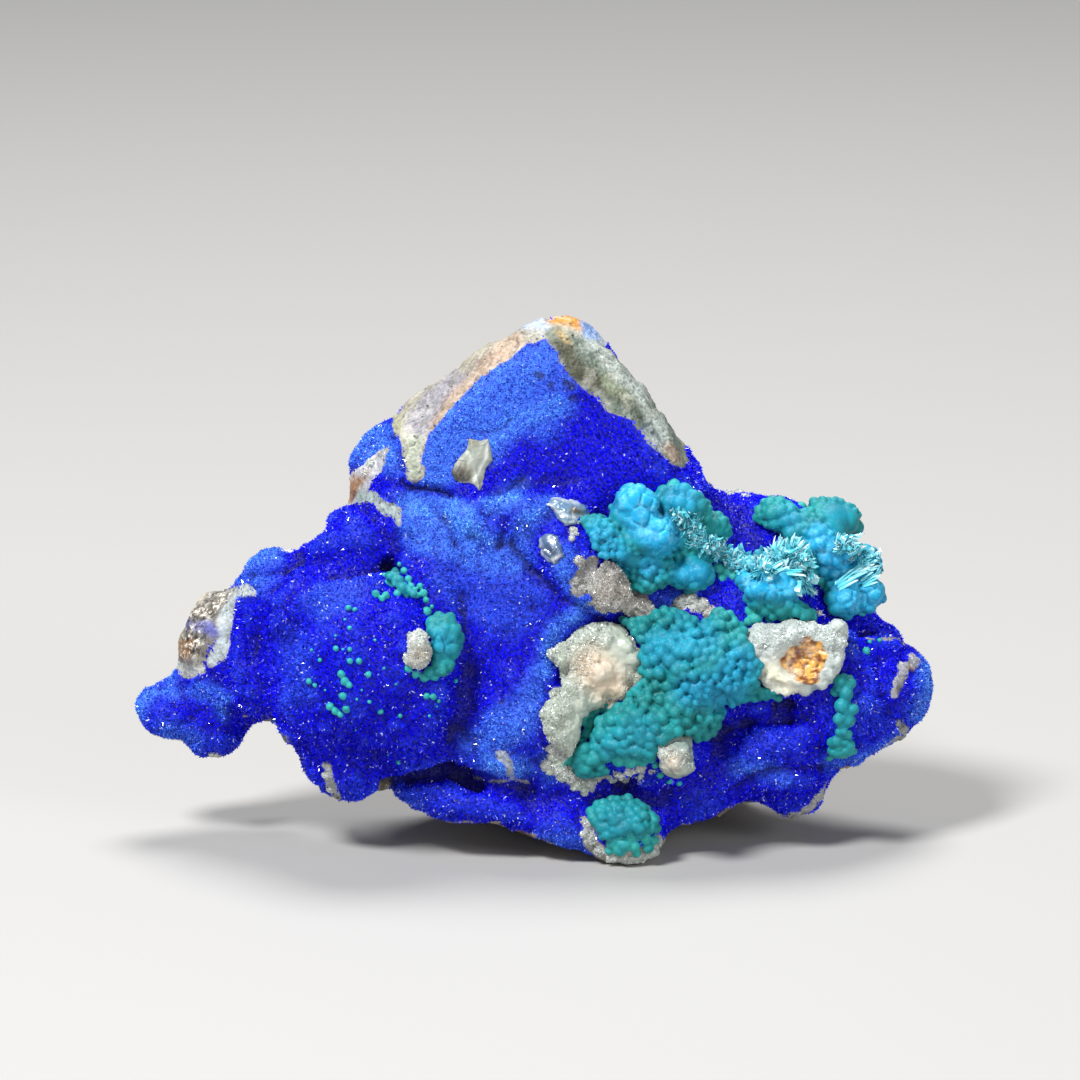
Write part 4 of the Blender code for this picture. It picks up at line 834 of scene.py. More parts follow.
def struck(trees, across, up):
    """Where the eye's sight to a place on the sheet first meets a surface, and that surface's normal."""
    way = sight_to(across, up)
    hits = [tree.ray_cast(EYE, way) for tree in trees]
    hits = [hit for hit in hits if hit[0]]
    if not hits:
        return None, None
    place, normal, _, _ = min(hits, key=lambda hit: hit[3])
    return place, (normal - way).normalized()


def add_ball(bm, middle, radius, fineness=3):
    matrix = Matrix.Translation(middle)
    bmesh.ops.create_icosphere(bm, subdivisions=fineness, radius=radius * MM, matrix=matrix)


def add_lobes(bm, trees, lobes):
    """Adds balls that stand proud of what lies there."""
    for across, up, radius, proud in lobes:
        place, outward = struck(trees, across, up)
        if place:
            add_ball(bm, place - outward * (radius - proud) * MM, radius)


def spaced_out(points, radii, nearness):
    """Picks points in their order, none nearer to one picked before than their two radii times nearness."""
    cell = 2 * radii.max() * nearness
    picked = []
    held = {}
    for index, point in enumerate(points):
        key = tuple(int(math.floor(value / cell)) for value in point)
        around = [
            other
            for i in (-1, 0, 1) for j in (-1, 0, 1) for k in (-1, 0, 1)
            for other in held.get((key[0] + i, key[1] + j, key[2] + k), ())
        ]
        gaps = [np.linalg.norm(points[other] - point) for other in around]
        if all(gap > (radii[other] + radii[index]) * nearness for gap, other in zip(gaps, around)):
            picked.append(index)
            held.setdefault(key, []).append(index)
    return picked


# Rosasite: silky bundles of needles, dull and soft to the eye, with painted light on each globule's
# brow and painted shade between them.
rosasite, tree, shader = new_material("silky_rosasite", {
    "Roughness": 0.5, "IOR": 1.5, "Specular IOR Level": 0.25, "Sheen Weight": 0.06, "Sheen Roughness": 0.4,
})
where = add_node(tree, "ShaderNodeTexCoord", output="Object")
silk = add_node(tree, "ShaderNodeTexNoise", where, 1 / (0.22 * MM), 3.0, 0.65)
mottle = add_node(tree, "ShaderNodeTexNoise", where, 1 / (0.9 * MM), 4.0, 0.65)
clouds = add_node(tree, "ShaderNodeTexNoise", where, 1 / (2.2 * MM), 2.0)
green, teal, sky = (
    layered(tree, low, (clouds, 0.3, 0.7, 0, 1, high))
    for low, high in (("#086a6a", "#128487"), ("#056f90", "#0b88aa"), ("#0087ba", "#1da9d8"))
)
tone = add_node(tree, "ShaderNodeAttribute", attribute_name="blueness", output="Fac")
uneven = add_node(tree, "ShaderNodeMapRange", silk, 0.3, 0.7, -0.12, 0.12)
tone = add_node(tree, "ShaderNodeMath", tone, uneven, operation="ADD")
pale_share = add_node(tree, "ShaderNodeMapRange", mottle, 0.46, 0.64, 0, 0.3)
bluest = add_node(tree, "ShaderNodeMapRange", tone, 0.5, 0.9)
pale_share = add_node(tree, "ShaderNodeMath", pale_share, bluest, operation="MULTIPLY")
rosasite_colour = layered(
    tree, green,
    (tone, 0, 0.5, 0, 1, teal),
    (tone, 0.5, 1, 0, 1, sky),
    ("brow", 0, 1, 0, 0.18, "#5fd0da"),
    ("crease", 0, 1, 0, 0.95, "#002f3d"),
    (silk, 0.62, 0.75, 0, 0.4, "#9ae6ea"),
    (pale_share, 0, 1, 0, 1, "#93def0"),
    ("fringe", 0, 1, 0, 0.35, "#3fbfae"),
)
tree.links.new(rosasite_colour, shader.inputs["Base Color"])
tree.links.new(add_node(tree, "ShaderNodeBump", 0.7, 0.06 * MM, None, silk), shader.inputs["Normal"])


def gap_to(tree, places):
    """How far places are from a surface, in millimetres."""
    return np.array([tree.find_nearest(Vector(place))[3] for place in places]) / MM


def finish_rosasite(crust, blue_places):
    """Marks a crust's blue places, its thin edges, and its brows and creases for painted light and shade,
    and gives it its material.
    """
    places, _ = places_of(crust.data)
    sheet = on_sheet(places)
    blueness = np.zeros(len(places))
    for strength, stroke in blue_places:
        blueness = np.maximum(blueness, within(sheet, stroke, BLUE_EDGE) * strength)
    hollow = hollowness(crust.data, 7)
    fringe = 1 - ramp(gap_to(rock_tree, places), 0.3, 0.9)
    store(
        crust.data, blueness=blueness, fringe=fringe,
        crease=ramp(hollow, 0.02, 0.12), brow=ramp(-hollow, 0.03, 0.10),
    )
    coat(crust, rosasite)
    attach(crust, "root")


rock_now = tree_of(rock)
growths = []
for node, plan in ROSASITE.items():
    form = object_from(node + "_form", merged_copy(node))
    fuse(form, FORM_VOXEL, smoothing=5, subdivisions=1)
    form_tree = tree_of(form)
    places, normals = places_of(form.data)
    sheet = on_sheet(places)
    great = plan.get("great")
    swell = 0.5 + 0.5 * ripple(places, 5.0, plan["seed"])
    swell = np.clip(swell + 0.45 * ripple(places, 1.2, plan["seed"] + 1), 0, 1)
    small, large = plan["globules"]
    radii = small + (large - small) * swell
    order = np.random.default_rng(plan["seed"]).permutation(len(places))
    if great:
        order = order[within(sheet, great, GREAT_EDGE)[order] < 0.5]
    picked = [order[index] for index in spaced_out(places[order] / MM, radii[order], PACKING)]

    move_to(form.data, places - normals * plan["sink"] * MM)
    bm = bmesh.new()
    bm.from_mesh(form.data)
    bpy.data.objects.remove(form)
    draw = random.Random(plan["seed"])
    for index in picked:
        sunk = draw.uniform(*SUNK)
        add_ball(bm, places[index] - normals[index] * radii[index] * sunk * MM, radii[index], fineness=2)
    add_lobes(bm, [form_tree, rock_now], plan["domes"])
    crust = object_from(node + "_crust", bm)
    fuse(crust, FINE_VOXEL, smoothing=1)
    if great:  # the great domes fused until only shallow furrows part them
        places, _ = places_of(crust.data)
        soft = within(on_sheet(places), great, GREAT_EDGE)[:, None]
        move_to(crust.data, places + (even_out(crust.data, places, 11) - places) * soft)
        places, normals = places_of(crust.data)
        nearest, second = seeds_near(places, FURROWS).T
        furrow = 1 - ramp(second - nearest, 0.0, 0.28)
        push = (0.45 - nearest) * LOBE_HEIGHT - FURROW_DEPTH * furrow
        if "plain" in plan:
            push *= 1 - within(on_sheet(places), plan["plain"], 0.6)
        move_to(crust.data, places + normals * soft * (push * MM)[:, None])
    finish_rosasite(crust, plan["blue"])
    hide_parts(node)
    growths.append(crust)

bm = bmesh.new()
for across, up, radius in BEADS:
    place, outward = struck([rock_now], across, up)
    add_ball(bm, place + outward * BEAD_STAND * radius * MM, radius)
beads = object_from("rosasite_beads", bm)
fuse(beads, BEAD_VOXEL, smoothing=1)
places, normals = places_of(beads.data)
move_to(beads.data, places + normals * (ripple(places, 0.6, 71) * 0.09 * MM)[:, None])
finish_rosasite(beads, [(0.25, [(-22.7, 25.8, 7.2)])])

# The calcite --------------------------------------------------------------------------------------
# Pale calcite sits under and beside the rosasite as lumps, cloudy inside, with a sugary skin of small
# blunt rhombs. The hollow boss is a broken shell of it, stained orange by iron within.

MASS_VOXEL = 0.3  # mm, for a mass's own form
LUMP_VOXEL = 0.2  # mm, for the form with its lobes
FILM_VOXEL = 0.17  # mm, for the small growths
RHOMB_SIZE = 0.2  # mm, before each grows to its own length
RHOMBS = 22.0  # to a square millimetre
RHOMB_LENGTHS = (0.35, 0.95)
RHOMB_LEAN = 0.9  # radians

# For each mass: its colour, the size and height of its skin's lumps, how far a flat growth stands over
# the rock, a warmer colour and its stroke, where it is sugary, the stroke of its iron-stained hollow,
# and its lobes (place, radius and how far each stands proud).
CALCITE = {
    "pale_calcite": {
        "colour": "#aab3a6", "seed": 2, "lump": 2, "height": 0.25,
        "warm": ("#cab8a0", [(6.9, 24, 2.2), (9.1, 21.9, 2.4), (11, 20, 1.6)]),
        "sugar": [(1.7, 25.2, 1.2), (4.9, 27, 1.4), (7.9, 28.4, 1.4), (2.6, 19.8, 1.7), (1.9, 16.2, 1.7),
            (3.7, 10.8, 1.2), (6.7, 9.2, 1.2)],
        "lobes": [(7.2, 27.7, 1.08, 0.5), (8.6, 26.8, 1.32, 0.6), (5.5, 25.8, 1.44, 0.4),
            (2.1, 25.3, 0.72, 0.5), (3.1, 24.6, 0.96, 0.4), (7.7, 23.6, 2.64, 0.7), (10.1, 21, 1.68, 0.5),
            (11.3, 19.1, 1.2, 0.3), (4.5, 21.7, 1.08, 0.3), (2.6, 20.3, 1.44, 0.5), (2.1, 17.9, 1.56, 0.5),
            (3.1, 15.5, 1.32, 0.4), (2.1, 16.4, 1.08, 0.4), (4.1, 13.6, 0.84, 0.5), (2.9, 12.1, 0.84, 0.6),
            (3.3, 10.7, 0.84, 0.6), (4.9, 9.5, 0.72, 0.6), (6.5, 9.7, 0.72, 0.5), (5.9, 8.8, 0.6, 0.6),
            (2.1, 13, 0.6, 0.5), (7.5, 10.4, 0.72, 0.5), (4.3, 11.6, 0.72, 0.4), (1.8, 11.2, 0.48, 0.4),
            (12, 24.8, 1.44, 0.5), (12.3, 22.4, 1.44, 0.5), (12, 20, 1.32, 0.4), (9.3, 19.1, 1.32, 0.4),
            (7.4, 19.6, 1.32, 0.4), (5.5, 19.3, 1.2, 0.4), (10.9, 26.4, 1.2, 0.4), (9.1, 10.7, 0.84, 0.4),
            (10.9, 10.6, 0.84, 0.4), (12.7, 10.6, 0.72, 0.4), (14.1, 11.3, 0.6, 0.3)],
    },
    "hollow_boss": {
        "colour": "#b3bdba", "seed": 4, "lump": 1.8, "height": 0.25,
        "warm": ("#dcd8c0", [(28.5, 23.2, 1.2), (30.7, 21, 1)]),
        "sugar": [(27.3, 27, 1.4), (30.1, 28.2, 1.7), (33.7, 28.2, 1.4), (36.5, 26.4, 1.4)],
        "ochre": [(30.2, 24.1, 0.8), (31.5, 24.5, 1.6), (32.9, 24.7, 2), (33.8, 25.4, 1.3), (33, 26.4, 1),
            (32.9, 23, 1.4)],
        "lobes": [(27.6, 27, 1.44, 0.3), (29.5, 28, 1.2, 0.4), (27.3, 24.4, 1.08, 0.4),
            (28.1, 22.2, 1.08, 0.6), (30.2, 21, 0.96, 0.5), (32.6, 21, 0.96, 0.4), (34.5, 21.7, 0.84, 0.5),
            (36.2, 24.4, 0.96, 0.5), (36.7, 26.8, 0.96, 0.5), (36.5, 28.6, 0.96, 0.8),
            (33.3, 28.2, 0.96, 0.3), (29, 21.2, 0.84, 0.5), (26.5, 25.8, 0.84, 0.4),
            (35.6, 22.9, 0.84, 0.5)],
    },
    "calcite_stub": {
        "colour": "#8c9a94", "seed": 6, "lump": 1.5, "height": 0.3, "warm": ("#c3b5a2", [(16.5, 12.4, 1)]),
        "sugar": [(15.3, 14, 1), (18.7, 12.4, 0.7)],
        "lobes": [(16.1, 13, 1.44, 0.3), (17.6, 11.6, 1.32, 0.4), (15.3, 14, 0.96, 0.3),
            (15.3, 13.9, 1.08, 0.5), (18, 13.6, 0.96, 0.5), (17.1, 12.1, 1.08, 0.5),
            (18.6, 11.9, 0.84, 0.5), (16.1, 13, 0.72, 0.5)],
    },
    "left_calcite": {
        "colour": "#aeb4b0", "seed": 9, "lump": 1.2, "height": 0.15,
        "warm": ("#a89a86", [(-13.7, 25.2, 0.7)]), "sugar": [(-14.3, 25.8, 3.6)],
        "lobes": [(-14.7, 24.6, 0.96, 0.3), (-13.5, 26.4, 0.84, 0.3)],
    },
    "upper_calcite": {
        "colour": "#8b8a88", "seed": 12, "lump": 1.9, "height": 0.35, "settled": 1.1,
        "warm": ("#a39a92", [(9.3, 33, 2.2), (12.2, 31.8, 1.4)]), "sugar": [(7.9, 33, 7.2)],
        "lobes": [(6.5, 34.9, 1.56, 0.4), (7.9, 33.2, 1.8, 0.35), (9.9, 31.8, 1.92, 0.3),
            (12.2, 31.4, 1.56, 0.35), (13.8, 31.8, 0.96, 0.3), (5.5, 36.2, 0.84, 0.4),
            (5.7, 33.2, 0.96, 0.35), (8.3, 31, 1.2, 0.35), (7.2, 31.8, 1.08, 0.35), (5, 34.2, 0.72, 0.3)],
    },
}
# Small growths of it elsewhere, behind the crusts, on the saddle and all round the foot: place,
# radius and how far each stands proud.
LOOSE_CALCITE = [
    (17.5, 31.4, 1.08, 0.6), (18.9, 31.8, 1.08, 0.6), (20.3, 31.1, 0.96, 0.6), (21.2, 29.9, 0.84, 0.6),
    (22.3, 29.6, 1.2, 0.7), (23.3, 28.4, 1.08, 0.7), (21.8, 28.2, 0.84, 0.6), (23.3, 44.5, 0.72, 0.35),
    (24.5, 44.6, 0.84, 0.35), (25.4, 44.2, 0.6, 0.35), (4.7, 40.1, 0.6, 0.6), (4.4, 39.1, 0.42, 0.5),
    (33.5, 30, 0.36, 0.5), (34.1, 30.1, 0.36, 0.5), (6.9, 3.2, 0.96, 0.45), (7.9, 1.8, 0.96, 0.45),
    (9.3, 1.1, 0.96, 0.45), (11, 0.7, 0.96, 0.45), (12.7, 1, 0.96, 0.45), (14.1, 1.7, 0.96, 0.45),
    (14.9, 2.9, 0.72, 0.4), (6.6, 4.8, 0.72, 0.4), (6.2, 3.8, 0.6, 0.4), (-17.9, 49.2, 0.6, 0.3),
    (-19.5, 48.2, 0.72, 0.35), (-20.3, 46.9, 0.6, 0.3), (-29.5, 38.3, 0.48, 0.4), (-28.8, 38.4, 0.36, 0.4),
    (-25.1, 10.8, 0.6, 0.3), (-24.4, 9.2, 0.72, 0.3), (-39.5, 13, 0.36, 0.3), (-38.7, 13.4, 0.36, 0.3),
    (1.5, 12.1, 0.84, 0.5), (2.3, 13, 0.96, 0.5), (3.1, 11.6, 1.08, 0.55), (4.2, 10.7, 1.08, 0.6),
    (5.3, 9.8, 1.08, 0.6), (6.6, 9.7, 0.96, 0.55), (7.7, 10.6, 1.08, 0.55), (8.9, 11, 0.96, 0.5),
    (10.2, 10.9, 0.84, 0.45), (4.7, 11.9, 1.08, 0.55), (6.2, 11.3, 1.08, 0.55), (3.3, 13.2, 1.08, 0.5),
    (2.1, 14, 0.96, 0.5), (11.5, 11.3, 0.84, 0.4), (12.8, 11.6, 0.72, 0.4),
]

# Calcite, cloudy and fine-grained, with painted shade in its creases.
calcite, tree, shader = new_material("cloudy_calcite", {
    "Roughness": 0.35, "IOR": 1.6, "Subsurface Weight": 0.2, "Subsurface Scale": 1.2 * MM,
    "Subsurface Radius": (1.0, 0.9, 0.8),
})
where = add_node(tree, "ShaderNodeTexCoord", output="Object")
grain = add_node(tree, "ShaderNodeTexNoise", where, 1 / (0.4 * MM), 3.0, 0.6)
clouds = add_node(tree, "ShaderNodeTexNoise", where, 1 / (2.4 * MM), 2.0)
ground = add_node(tree, "ShaderNodeAttribute", attribute_name="ground", output="Color")
dull = layered(tree, "#e6e6e6", (grain, 0.3, 0.7, 0, 1, "#ffffff"))
calcite_colour = add_node(tree, "ShaderNodeMix", 1.0, ground, dull, data_type="RGBA", blend_type="MULTIPLY")
calcite_colour = layered(
    tree, calcite_colour, (clouds, 0.55, 0.7, 0, 0.25, "#eceee8"), ("crease", 0, 1, 0, 0.5, "#6b665a")
)
tree.links.new(calcite_colour, shader.inputs["Base Color"])
tree.links.new(add_node(tree, "ShaderNodeBump", 0.6, 0.1 * MM, None, grain), shader.inputs["Normal"])

# The rhombs on it: clear enough that only their edges and faces show; their white is painted on as glints,
# more on some than others, and their creases take painted shade.
rhomb_material, tree, shader = new_material(
    "calcite_rhombs", {"Roughness": 0.12, "IOR": 1.6, "Transmission Weight": 0.25}
)
ground = add_node(tree, "ShaderNodeAttribute", attribute_name="ground", output="Color")
rhomb_colour = layered(
    tree, ground, ("shade", 0.2, 1, 0, 0.55, "#eef4f2"), ("crease", 0, 1, 0, 0.6, "#5d584e")
)
tree.links.new(rhomb_colour, shader.inputs["Base Color"])

bm = bmesh.new()
bmesh.ops.create_cube(bm, size=RHOMB_SIZE)
bmesh.ops.transform(bm, matrix=Matrix.Shear("XY", 4, (0.35, 0.25)), verts=bm.verts)
rhomb = object_from("rhomb_crystal", bm)


def finish_calcite(lump, plan):
    """Shapes a calcite lump's skin, colours it, and sugars it with rhombs."""
    seed = plan["seed"]
    places, normals = places_of(lump.data)
    if "settled" in plan:
        under = np.array([rock_now.find_nearest(Vector(place))[0] for place in places])
        height = np.linalg.norm(places - under, axis=1)[:, None] / MM / plan["settled"]
        move_to(lump.data, under + (places - under) * (1 - np.exp(-height)) / np.maximum(height, 1e-6))
        places, normals = places_of(lump.data)
    sheet = on_sheet(places)
    to_eye = -normals @ np.array(FORWARD)
    near = seeds_near(places, plan["lump"])[:, 0]
    push = (0.4 - near) * plan["height"] + 0.07 * ripple(places, 0.5, seed)
    push += 0.22 * broken(places, 1.5, seed) + 0.07 * broken(places, 0.7, seed)
    sugar = within(sheet, plan["sugar"], 0.6)
    push += sugar * 0.1 * ripple(places, 0.3, seed + 1)
    ochre = np.zeros(len(places))
    if "ochre" in plan:
        wobble = np.stack([ripple(places, 1.0, 61), ripple(places, 1.0, 62)], axis=1) * 0.5
        ochre = within(sheet + wobble, plan["ochre"], 0.2) * ramp(to_eye, -0.6, -0.2)
        flakes = ripple(places * (1, 1, 3), 0.9, 63)
        push += ochre * (0.3 * flakes + 0.14 * ripple(places, 0.35, 64) - 0.12)
    places = places + normals * (push * MM)[:, None]
    places[:, 2] = np.maximum(places[:, 2], 0)
    move_to(lump.data, places)

    ground = np.tile(linear(plan["colour"]), (len(places), 1))
    code, stroke = plan["warm"]
    tint(ground, code, within(sheet, stroke, 1.5))
    rust = ramp(ripple(places, 0.9, 65) + 0.5 * ripple(places, 0.35, 66), -0.5, 0.5)[:, None]
    iron = np.array(linear("#f2b34e")) * rust + np.array(linear("#7a3a10")) * (1 - rust)
    ground += (iron - ground) * ochre[:, None]
    hollow = ramp(hollowness(lump.data, 6), 0.02, 0.16)
    ground *= 1 - 0.7 * (hollow * ochre)[:, None]
    rim = np.maximum(0.7 * (1 - ramp(gap_to(rock_now, places), 0.6, 1.6)), sugar)
    rim *= ramp(places[:, 2] / MM, 0.3, 0.6) * ramp(to_eye, -0.6, -0.3)
    whole = np.ones(len(places))
    density = (1 - ochre) * rim * RHOMBS
    # painted shade: the crease value darkens the calcite and its rhombs in hollows outside the iron stain
    store(lump.data, ground=ground, crease=hollow * (1 - ochre), growth=whole, whole=whole, density=density)
    coat(lump, calcite)
    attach(lump, "root")
    rhombs = grow_crystals(
        lump.name + "_rhombs", lump, rhomb, "density", "whole",
        RHOMB_LENGTHS, RHOMB_LEAN, 200 + seed, rhomb_material,
    )
    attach(rhombs, "root")
    growths.append(lump)


for node, plan in CALCITE.items():
    form = object_from(node + "_form", merged_copy(node))
    fuse(form, MASS_VOXEL, smoothing=4, subdivisions=1)
    form_tree = tree_of(form)
    bm = bmesh.new()
    bm.from_mesh(form.data)
    bpy.data.objects.remove(form)
    add_lobes(bm, [form_tree, rock_now], plan["lobes"])
    lump = object_from(node + "_lump", bm)
    fuse(lump, LUMP_VOXEL, smoothing=2)
    finish_calcite(lump, plan)
    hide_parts(node)

bm = bmesh.new()
add_lobes(bm, [rock_now], LOOSE_CALCITE)
loose = object_from("loose_calcite", bm)
fuse(loose, FILM_VOXEL, smoothing=2)
finish_calcite(loose, {
    "colour": "#a9ada8", "warm": ("#9a9186", [(21.8, 29.2, 1.7)]), "sugar": [(-4.1, 25.8, 119.9)],
    "seed": 15, "lump": 1.0, "height": 0.2,
})
bpy.data.objects.remove(rhomb)

# The clear crystals -------------------------------------------------------------------------------
# Three sprays of thin clear blades stand on the rosasite and take its colour from below. Blunt grey,
# clear crystals sit in the azurite, and one broken, smoky one shows in the peak like a window.

# For each spray: how many fans of blades, a blade's least and greatest length and width, the stroke
# that they stand on, and its plates, which lie down: place, direction across and up, length and width.
SPRAYS = {
    "upper_blades": {
        "fans": 120, "length": (0.7, 1.4), "width": (0.3, 0.7), "seed": 1,
        "on": [(17, 42.4, 0.6), (18.5, 40.9, 1), (19.9, 39.2, 1.2), (21.8, 37.9, 1.3), (24, 36.6, 1.2),
            (25.7, 35.9, 1)],
    },
    "middle_blades": {
        "fans": 110, "length": (0.8, 1.6), "width": (0.45, 1), "seed": 2,
        "on": [(25.3, 36.1, 1), (27.1, 35.6, 1.3), (29.3, 36.6, 1.4), (31.1, 37.9, 1.2), (32.1, 37.1, 1.2),
            (31.9, 35.2, 1.3), (32.9, 33.2, 0.7)],
        "plates": [((29, 37.1), (0.35, 1), 2.2, 1.2), ((30.2, 37.6), (0.1, 1), 2.3, 1.2), ((31.4, 37.1),
            (0.6, 0.8), 2.2, 1.2), ((32.1, 36.1), (0.8, 0.3), 1.7, 1), ((32.6, 34.7), (0.9, -0.2), 1.6, 1),
            ((32.6, 33.2), (0.8, -0.6), 1.6, 0.9), ((27.3, 35.6), (0.4, 0.9), 1.9, 1.2), ((28.5, 35.4),
            (0.8, 0.5), 2, 1.1), ((30.5, 35.4), (0.9, 0.1), 2, 1.1)],
    },
    "right_blades": {
        "fans": 40, "length": (0.7, 1.4), "width": (0.4, 0.9), "seed": 3,
        "on": [(36.9, 38.4, 0.8), (38.1, 38.2, 1.1), (39.1, 37.1, 0.7), (40.5, 36.4, 0.7), (42, 35.2, 0.6),
            (42.3, 33.5, 0.4)],
        "plates": [((36.9, 33.7), (0.85, 0.5), 2.8, 1.3), ((37.9, 34.7), (0.85, 0.45), 3, 1.3),
            ((38.9, 35.4), (0.85, 0.4), 2.8, 1.2), ((39.8, 34), (0.9, 0.3), 2.2, 1.3), ((40.1, 35.6),
            (0.8, 0.5), 2, 1.2), ((41.3, 34.4), (0.6, 0.8), 1.6, 1.3), ((42, 35.4), (0.3, 1), 1.4, 0.9),
            ((36.5, 37.6), (0.7, 0.6), 2.2, 1.2), ((37.7, 37.6), (0.8, 0.5), 2.2, 1.2), ((37.9, 38.9),
            (0.9, 0.1), 1.8, 1.2), ((36.5, 38.8), (0.3, 0.9), 1.4, 0.9), ((42.2, 34),
            (0.5, -0.9), 1.8, 0.9)],
    },
}
BLADES_IN_FAN = 5
BLADE_THICKNESS = (0.05, 0.10)
FAN_STEP = 0.17  # radians and, across the fan, millimetres from a blade to the next
STRIP = 0.2  # mm from a blade of a plate to the next

# Clear, thin blades that let the rosasite's blue through, with a painted highlight whitening them towards
# their points.
blade_material, tree, shader = new_material(
    "clear_blades", {"Roughness": 0.12, "IOR": 1.5, "Transmission Weight": 0.15}
)
tints = layered(tree, "#27abc2", ("shade", 0, 0.5, 0, 1, "#78d8e6"), ("shade", 0.5, 0.95, 0, 1, "#f4ffff"))
tree.links.new(tints, shader.inputs["Base Color"])


def add_blade(bm, root, way, side, length, width, thick, shade):
    """Adds a closed flat crystal with a chisel point: way along it, side across it."""
    across = way.cross(side).normalized()
    side = across.cross(way).normalized()
    frame_matrix = Matrix((side, across, way)).transposed().to_4x4()
    made = bmesh.ops.create_cube(bm, size=1)
    for vert in made["verts"]:
        top = vert.co.z > 0
        x = vert.co.x * width * (0.35 if top and vert.co.x > 0 else 1)
        z = length * (1 if top else -0.3) * (0.8 if top and vert.co.x < 0 else 1)
        vert.co = Vector((x, vert.co.y * thick * (0.6 if top else 1), z)) * MM
        # painted highlight: the point is painted whiter than the root
        vert[bm.verts.layers.float["shade"]] = shade if top else 0.3 * shade
    bmesh.ops.transform(bm, matrix=Matrix.Translation(root) @ frame_matrix, verts=made["verts"])


growth_trees = [tree_of(growth) for growth in growths] + [rock_now]
for node, plan in SPRAYS.items():
    draw = random.Random(plan["seed"])
    bm = bmesh.new()
    bm.verts.layers.float.new("shade")
    for fan in range(plan["fans"]):
        step = fan % (len(plan["on"]) - 1)
        share = draw.random()
        (x0, y0, w0), (x1, y1, w1) = plan["on"][step:step + 2]
        half = w0 + (w1 - w0) * share
        angle = draw.uniform(0, math.tau)
        out = math.sqrt(draw.random()) * half
        across = x0 + (x1 - x0) * share + math.cos(angle) * out
        up = y0 + (y1 - y0) * share + math.sin(angle) * out
        place, outward = struck(growth_trees, across, up)
        if not place:
            continue
        lean = Vector((draw.gauss(0, 0.7), draw.gauss(0, 0.3), draw.gauss(0, 0.7)))
        axis = (outward * 0.9 - FORWARD * 0.2 + lean).normalized()
        side = Vector((draw.gauss(0, 1), draw.gauss(0, 1), draw.gauss(0, 1))).cross(axis).normalized()
        flat = axis.cross(side)
        for number in range(BLADES_IN_FAN):
            step = (number - BLADES_IN_FAN / 2 + draw.uniform(-0.3, 0.3)) * FAN_STEP
            way = (axis + flat * step * 1.4 + side * draw.gauss(0, 0.12)).normalized()
            add_blade(
                bm, place + flat * step * MM, way, side + flat * draw.gauss(0, 0.12),
                draw.uniform(*plan["length"]), draw.uniform(*plan["width"]), draw.uniform(*BLADE_THICKNESS),
                0.3 + 0.7 * draw.random() ** 2.5,
            )
    for (across, up), (right, rise), length, width in plan.get("plates", ()):
        along = (Vector((1, 0, 0)) * right + UPWARD * rise).normalized()
        beside = along.cross(FORWARD)
        strips = round(width / STRIP)
        for number in range(strips):
            step = number - (strips - 1) / 2
            place, outward = struck(
                growth_trees, across + beside.x * step * STRIP, up + beside.dot(UPWARD) * step * STRIP
            )
            if not place:
                continue
            way = along + beside * (0.05 * step + draw.gauss(0, 0.06))
            way = (way - outward * (way.dot(outward) - draw.uniform(0.2, 0.45))).normalized()
            add_blade(
                bm, place + outward * 0.1 * MM, way, way.cross(outward), length * draw.uniform(0.6, 1.1),
                STRIP * draw.uniform(1.0, 1.7), draw.uniform(0.08, 0.15), draw.uniform(0.3, 0.95),
            )
    spray = object_from(node + "_spray", bm)
    spray.data.materials.append(blade_material)
    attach(spray, "root")
    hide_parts(node)

